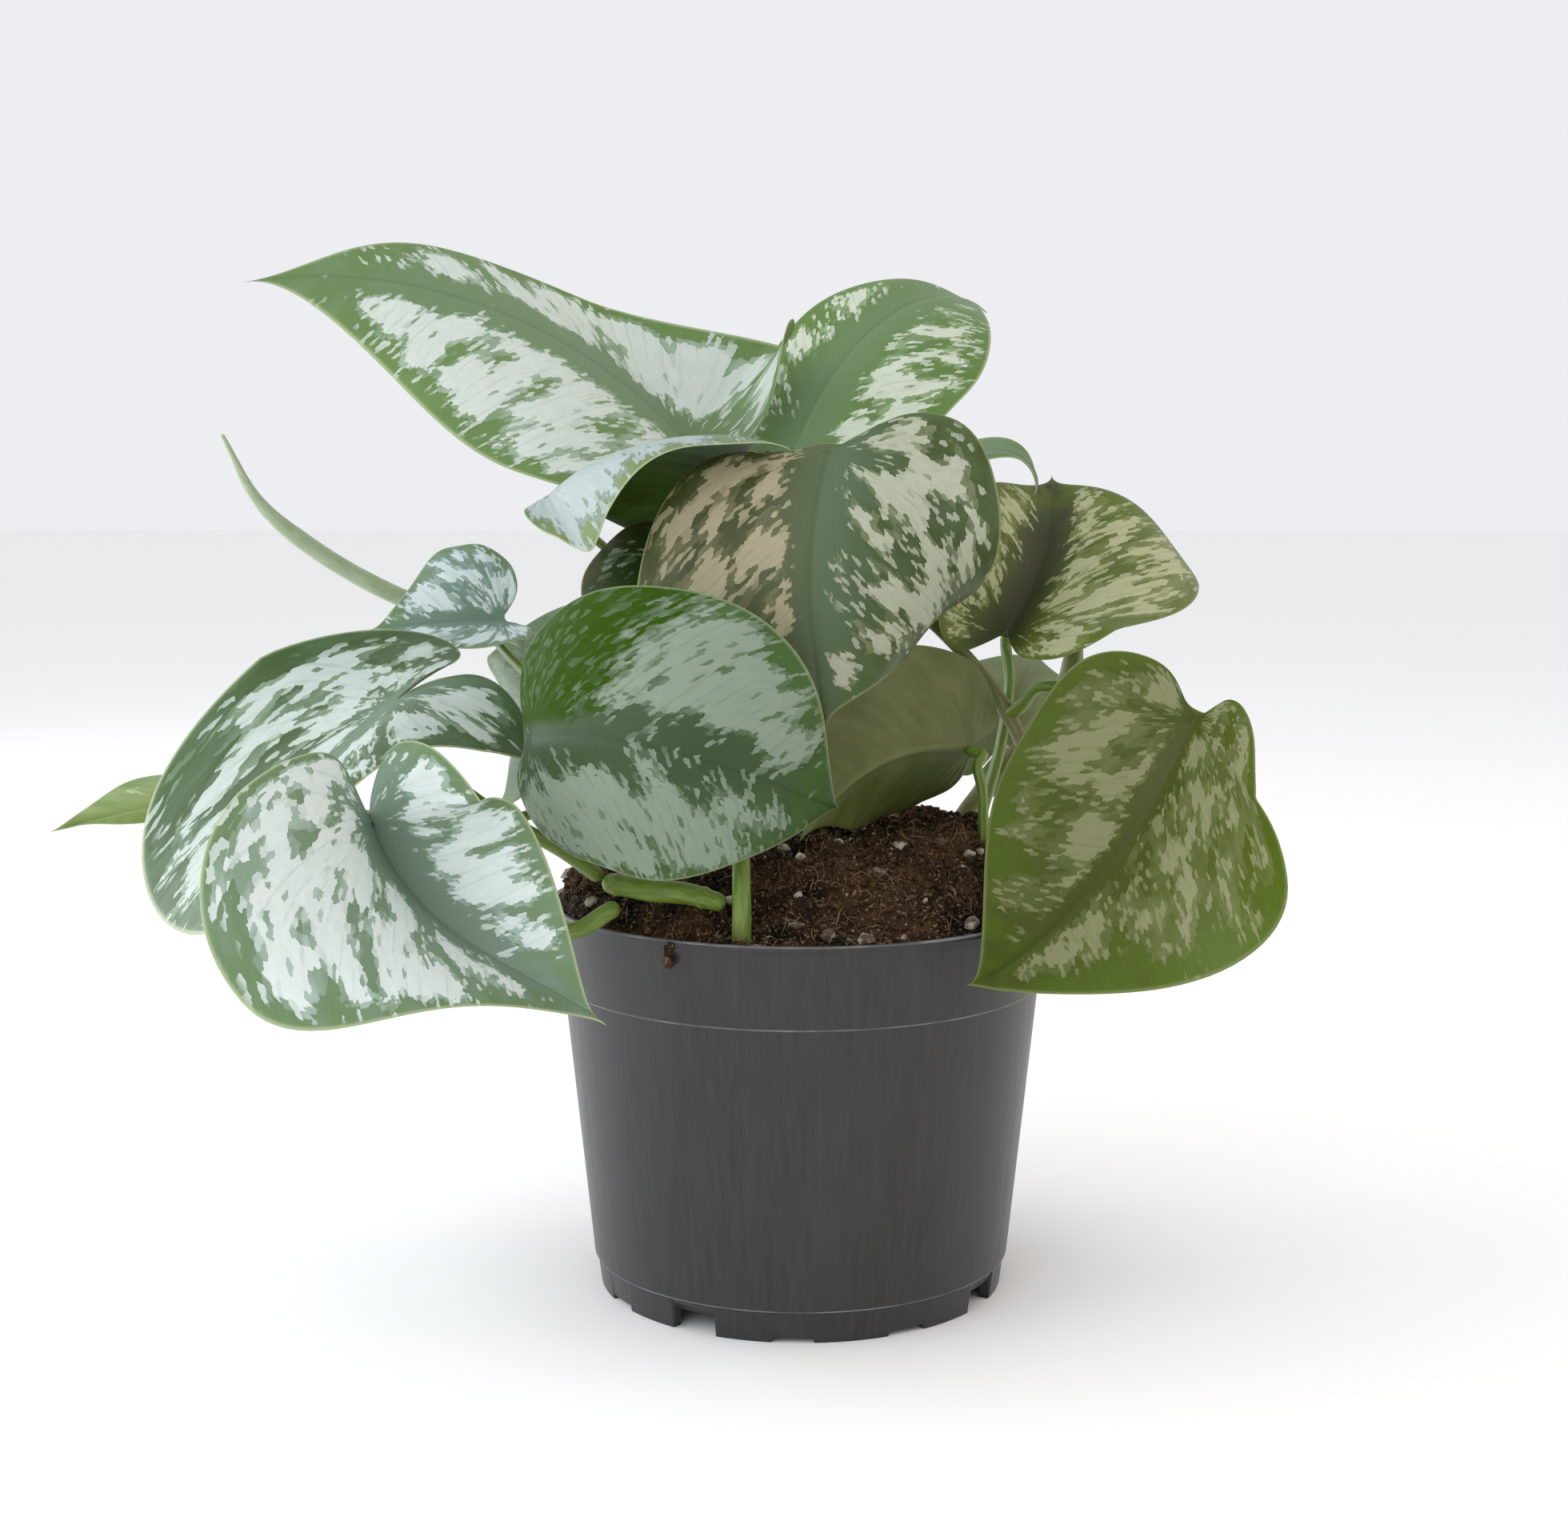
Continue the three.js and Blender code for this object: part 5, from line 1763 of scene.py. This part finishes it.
    @staticmethod
    def pebbles(middles: Array, sizes: Array, squash: float, seed: int) -> tuple[Array, Array, Array]:
        """Lumpy six-sided balls of 20 vertices, each turned and stretched at random.

        Args:
            middles: (n, 3) places.
            sizes: Their radii.
            squash: Height as a share of the width.
            seed: Chooses the shapes.

        Returns:
            Vertices, four-sided faces and three-sided faces.
        """
        rng = np.random.default_rng(seed)
        turn = np.linspace(0.0, 2 * np.pi, 6, endpoint=False)
        level = np.radians([-48.0, 0.0, 48.0])
        v, u = np.repeat(level, len(turn)), np.tile(turn, len(level))
        ball = np.column_stack([np.cos(v) * np.cos(u), np.cos(v) * np.sin(u), np.sin(v)])
        ball = np.vstack([ball, [[0, 0, -1], [0, 0, 1]]])
        count = len(middles)
        rough = rng.uniform(0.7, 1.15, (count, len(ball), 1))
        shape = ball * rough * rng.uniform(0.65, 1.2, (count, 1, 3))
        spin, _ = np.linalg.qr(rng.normal(size=(count, 3, 3)))
        spin *= np.sign(np.linalg.det(spin))[:, None, None]
        shape = np.einsum("nij,nkj->nki", spin, shape) * sizes[:, None, None] * [1.0, 1.0, squash]
        vertices = (shape + middles[:, None]).reshape(-1, 3)
        first = np.arange(count)[:, None, None] * len(ball)
        ring = np.arange(6)
        quads = (grid_quads(3, 6)[None] + first).reshape(-1, 4)
        ends = np.vstack([fan(18, ring, False), fan(19, ring + 12)])
        return vertices, quads, (ends[None] + first).reshape(-1, 3)

    def scatter(
        self, name: str, count: int, size: tuple[float, float], squash: float, seed: int, material: Material
    ) -> Piece:
        """Lay grains on the mound, more small ones than big ones, a third sunk in.

        Args:
            name: The piece's name.
            count: How many.
            size: Smallest and biggest radius, in mm.
            squash: Height as a share of the width.
            seed: Chooses places and shapes.
            material: The material.

        Returns:
            The piece.
        """
        rng = np.random.default_rng(seed)
        radius = (self.inner_radius - 2.0) * np.sqrt(rng.uniform(0.0, 1.0, count))
        angle = rng.uniform(0.0, 2 * np.pi, count)
        x, y = radius * np.cos(angle), radius * np.sin(angle)
        sizes = size[0] + (size[1] - size[0]) * rng.uniform(0.0, 1.0, count) ** 3.0
        middles = np.column_stack([x, y, self.crumbled(x, y) + sizes * 0.25])
        vertices, quads, ends = self.pebbles(middles, sizes, squash, seed + 1)
        return write_mesh(name, vertices, [quads, ends], [material])

    def spilled(self, peat: Material) -> Piece:
        """A few crumbs that stick to the outside of the lip.

        Args:
            peat: The material.

        Returns:
            The piece.
        """
        rng = np.random.default_rng(21)
        turn = np.radians(self.spill)
        outwards = np.array([np.cos(turn), np.sin(turn), 0.0])
        drop = np.linspace(0.0, -5.0, 9)
        middles = outwards * (self.rim_radius + 0.5) + UP * self.rim_height + drop[:, None] * UP
        middles = middles + rng.normal(scale=0.35, size=(9, 3))
        sizes = np.interp(np.arange(9), [0, 4, 8], [0.7, 0.9, 1.5])
        vertices, quads, ends = self.pebbles(middles, sizes, 1.0, 22)
        return write_mesh("spilled_crumbs", vertices, [quads, ends], [peat])

    def roots(self) -> Piece:
        """Thin fibres on the peat: tubes of four sides and seven rings along a bent line.

        Returns:
            The piece.
        """
        rng = np.random.default_rng(31)
        count, rings = self.fibres, 7
        radius = (self.inner_radius - 3.0) * np.sqrt(rng.uniform(0.05, 1.0, count))
        in_front = rng.uniform(size=count) < 0.6
        angle = np.where(in_front, rng.uniform(np.pi, 2 * np.pi, count), rng.uniform(0, np.pi, count))
        start = np.column_stack([radius * np.cos(angle), radius * np.sin(angle)])
        heading = rng.uniform(0.0, 2 * np.pi, count)
        length = rng.uniform(2.0, 8.0, count)
        u = np.linspace(-0.5, 0.5, rings)
        bow = rng.normal(scale=1.2, size=count)[:, None] * (4 * u * u - 1.0)
        along = u * length[:, None]
        x = start[:, :1] + along * np.cos(heading)[:, None] - bow * np.sin(heading)[:, None]
        y = start[:, 1:] + along * np.sin(heading)[:, None] + bow * np.cos(heading)[:, None]
        limit = self.inner_radius - 1.2
        shrink = np.minimum(1.0, limit / np.maximum(np.hypot(x, y), 1e-6))
        x, y = x * shrink, y * shrink
        lift = rng.uniform(0.1, 1.3, count)[:, None] * (1.0 - 4 * u * u)
        line = np.stack([x, y, self.crumbled(x, y) + 0.3 + lift], axis=-1)
        thick = rng.uniform(0.09, 0.2, count)[:, None] * np.sqrt(np.maximum(0.06, 1.0 - 3.9 * u * u))
        tangent = unit(np.gradient(line, axis=1))
        side = unit(np.cross(tangent, UP))
        front = np.cross(side, tangent)
        turn = np.linspace(0.0, 2 * np.pi, 4, endpoint=False)
        spread = side[:, :, None] * np.cos(turn)[:, None] + front[:, :, None] * np.sin(turn)[:, None]
        vertices = (line[:, :, None] + spread * thick[:, :, None, None]).reshape(-1, 3)
        first = np.arange(count)[:, None, None] * rings * 4
        quads = (grid_quads(rings, 4)[None, :, ::-1] + first).reshape(-1, 4)
        ends = np.array([[0, 1, 2, 3], [3, 2, 1, 0]]) + np.array([[0], [(rings - 1) * 4]])
        caps = (ends[None] + first).reshape(-1, 4)
        return write_mesh("root_fibres", vertices, [np.vstack([quads, caps])], [self.fibre.material()])


# ---- The whole plant


@dataclass
class Plant:
    """Stems, stalks and leaves, rooted in the compost.

    Fields:
        compost: The compost that it grows in.
        socket_depth: How deep a stem goes in, in mm.
        stalk, stem, young: Finishes.
    """

    compost: Compost
    socket_depth: float = 10.0
    stalk: GreenSkin = GreenSkin()
    stem: GreenSkin = GreenSkin(
        title="stem skin woody green", green="5f6a38", pale="808a56", tan="6b5432", age=0.5,
    )
    young: GreenSkin = GreenSkin(
        title="young leaf rolled", green="a2b092", pale="c0cab2", tan="8a9c74", age=0.5, glow=0.3,
    )

    def __post_init__(self) -> None:
        """Place the rim's middle, from which the tables are measured."""
        self.rim = UP * self.compost.rim_height
        self.paths: dict[str, Array] = {}
        self.forms = {form.name: form for form in LEAVES}

    def blade_end(self, leaf: str, radius: float) -> Array:
        """Two points that bring a stalk square on to its blade's underside, its round end in it.

        Args:
            leaf: The leaf's name.
            radius: The stalk's radius at its end.

        Returns:
            (2, 3) places.
        """
        form = self.forms[leaf]
        joint = np.array(form.joint) + self.rim
        return joint - np.outer([5.5, 1.2 * radius], form.axes()[2])

    def path(self, form: StalkForm) -> Array:
        """The stations of a stem or stalk, from its footing to its end.

        Args:
            form: The stem or stalk.

        Returns:
            Stations about 0.8 mm apart, (n, 3).
        """
        points = np.array(form.points, float) + self.rim
        if form.footing is Footing.COMPOST:
            foot = points[0]
            top = float(self.compost.mound(foot[0], foot[1]))
            below = foot * [1, 1, 0] + UP * (top - self.socket_depth)
            start = foot * [1, 1, 0] + UP * (top + self.compost.clearance)
            points = np.vstack([below, start, points[1:][points[1:, 2] > top + 3.0]])
        elif form.footing is Footing.STEM:
            stem = self.paths[form.stem]
            at = int(round(form.share * (len(stem) - 1)))
            tangent = unit(stem[min(at + 1, len(stem) - 1)] - stem[at - 1])
            away = points[0] - stem[at]
            away = unit(away - tangent * (away @ tangent))
            points = np.vstack([stem[at], stem[at] + away * 5.5, points])
        if form.leaf:
            points = np.vstack([points, self.blade_end(form.leaf, form.radii[-1])])
        return smooth_path(points, max(24, int(np.linalg.norm(np.diff(points, axis=0), axis=1).sum() / 0.8)))

    def build_stalk(self, form: StalkForm, finish: GreenSkin, name: str) -> Piece:
        """Make one stem or stalk, with its leaf joints and a thicker end where it meets a blade.

        Args:
            form: The stem or stalk.
            finish: Its finish.
            name: The piece's name.

        Returns:
            The piece.
        """
        path = self.path(form)
        self.paths[form.name] = path
        radii = swollen(tapered(form.radii, len(path)), form.joints, 0.16)
        if form.leaf:
            radii = swollen(radii, (0.97,), 0.18, 0.05)
        if form.footing is Footing.STEM:
            radii = swollen(radii, (0.03,), 0.35, 0.06)
        return tube(name, path, radii, finish.material(), form.channel)

    def build(self) -> list[Piece]:
        """Make every stem, stalk and leaf, each standing for its own node.

        Returns:
            The pieces.
        """
        pieces = []
        for form in (*STEMS, CREEPER):
            finish = self.stalk if form is CREEPER else self.stem
            piece = self.build_stalk(form, finish, f"skin_{form.name}")
            dress(piece, "stem", form.name)
            pieces.append(piece)
        for form in STALKS:
            piece = self.build_stalk(form, self.stalk, f"skin_{form.name}")
            dress(piece, "leaf_stalk", form.name)
            pieces.append(piece)
        piece = self.build_stalk(ROLLED_LEAF, self.young, "rolled_leaf")
        dress(piece, "leaf_blade", ROLLED_LEAF.name)
        pieces.append(piece)
        for form in LEAVES:
            blade = Blade(form, FACES[form.name], BACKS.get(form.name, LeafBack()))
            piece = blade.build(self.rim)
            dress(piece, "leaf_blade", f"leaf_{form.name}")
            pieces.append(piece)
        return pieces


# ---- Studio


@dataclass
class Studio:
    """A pale floor, a bright room and soft lights, with the camera a little above the pot's rim.

    Fields, in metres and degrees:
        camera_place, camera_tilt, camera_turn, lens: The camera.
        floor_colour, floor_size: The floor.
        room: Brightness of the room.
    """

    camera_place: tuple[float, float, float] = (0.0, -0.568, 0.198)
    camera_tilt: float = 82.83
    camera_turn: float = 0.41
    lens: float = 55.1
    floor_colour: str = "fafaf9"
    floor_size: float = 12.0
    room: float = 0.88

    def build(self) -> None:
        """Make the camera, floor, room light and lamps."""
        camera = bpy.data.cameras.new("camera")
        camera.lens, camera.sensor_width = self.lens, 36.0
        eye = bpy.data.objects.new("camera", camera)
        eye.location = self.camera_place
        eye.rotation_euler = np.radians([self.camera_tilt, 0.0, self.camera_turn])
        bpy.context.scene.collection.objects.link(eye)
        bpy.context.scene.camera = eye
        self.floor()
        world = bpy.data.worlds.new("room")
        world.use_nodes = True
        back = world.node_tree.nodes["Background"]
        back.inputs["Color"].default_value = srgb("fbfcff")
        back.inputs["Strength"].default_value = self.room
        bpy.context.scene.world = world
        self.lamp("window_left", (-1.1, -0.35, 0.75), 1.1, 9.0, "f6f8ff")
        self.lamp("window_front", (-0.6, -1.3, 0.6), 0.9, 5.0, "fdfdff")
        self.lamp("window_back", (-1.0, 0.42, 0.25), 0.8, 6.0, "eef4ff")
        self.lamp("room_right", (1.1, 0.1, 0.5), 0.8, 3.0, "ffdcb8")
        bpy.context.scene.view_settings.view_transform = "Standard"

    def floor(self) -> None:
        """A flat sheet on z = 0."""
        half = self.floor_size / 2 / MM
        corners = np.array([[-half, -half, 0], [half, -half, 0], [half, half, 0], [-half, half, 0]])
        material = bpy.data.materials.new("paper sweep")
        material.use_nodes = True
        shader = material.node_tree.nodes["Principled BSDF"]
        shader.inputs["Base Color"].default_value = srgb(self.floor_colour)
        shader.inputs["Roughness"].default_value = 0.8
        write_mesh("studio_floor", corners, [np.array([[0, 1, 2, 3]])], [material])

    @staticmethod
    def lamp(name: str, place: tuple[float, float, float], size: float, power: float, colour: str) -> None:
        """A square soft light aimed at the plant.

        Args:
            name: The lamp's name.
            place: Where it stands, in metres.
            size: Its side, in metres.
            power: Its power, in watts.
            colour: Its sRGB hex colour.
        """
        light = bpy.data.lights.new(name, "AREA")
        light.size, light.energy, light.color = size, power, srgb(colour)[:3]
        lamp = bpy.data.objects.new(name, light)
        back = unit(np.array(place) - np.array([0.0, 0.0, 0.12]))
        side = unit(np.cross(UP, back))
        turn = np.column_stack([side, np.cross(back, side), back])
        lamp.matrix_world = Matrix([[*turn[row], place[row]] for row in range(3)] + [[0, 0, 0, 1]])
        bpy.context.scene.collection.objects.link(lamp)


def dress(piece: Piece, slot: str, *nodes: str) -> None:
    """Hang a piece on the root body and hide the nodes that it stands for.

    Args:
        piece: The piece.
        slot: The finish slot; not used.
        nodes: The nodes it stands for.
    """
    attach(piece, "root")
    if nodes:
        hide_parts(*nodes)
    LOG.info("%s: %d faces", piece.name, len(piece.data.polygons))


def main() -> None:
    """Build the pot, the compost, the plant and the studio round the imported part."""
    logging.basicConfig(level=logging.INFO, format="%(name)s: %(message)s")
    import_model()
    Studio().build()
    dress(NurseryPot().build(), "pot_plastic", "nursery_pot")
    compost = Compost()
    pieces = compost.build()
    dress(pieces[0], "compost", "potting_soil")
    for piece in pieces[1:]:
        dress(piece, "compost")
    Plant(compost).build()


if __name__ == "__main__":
    main()
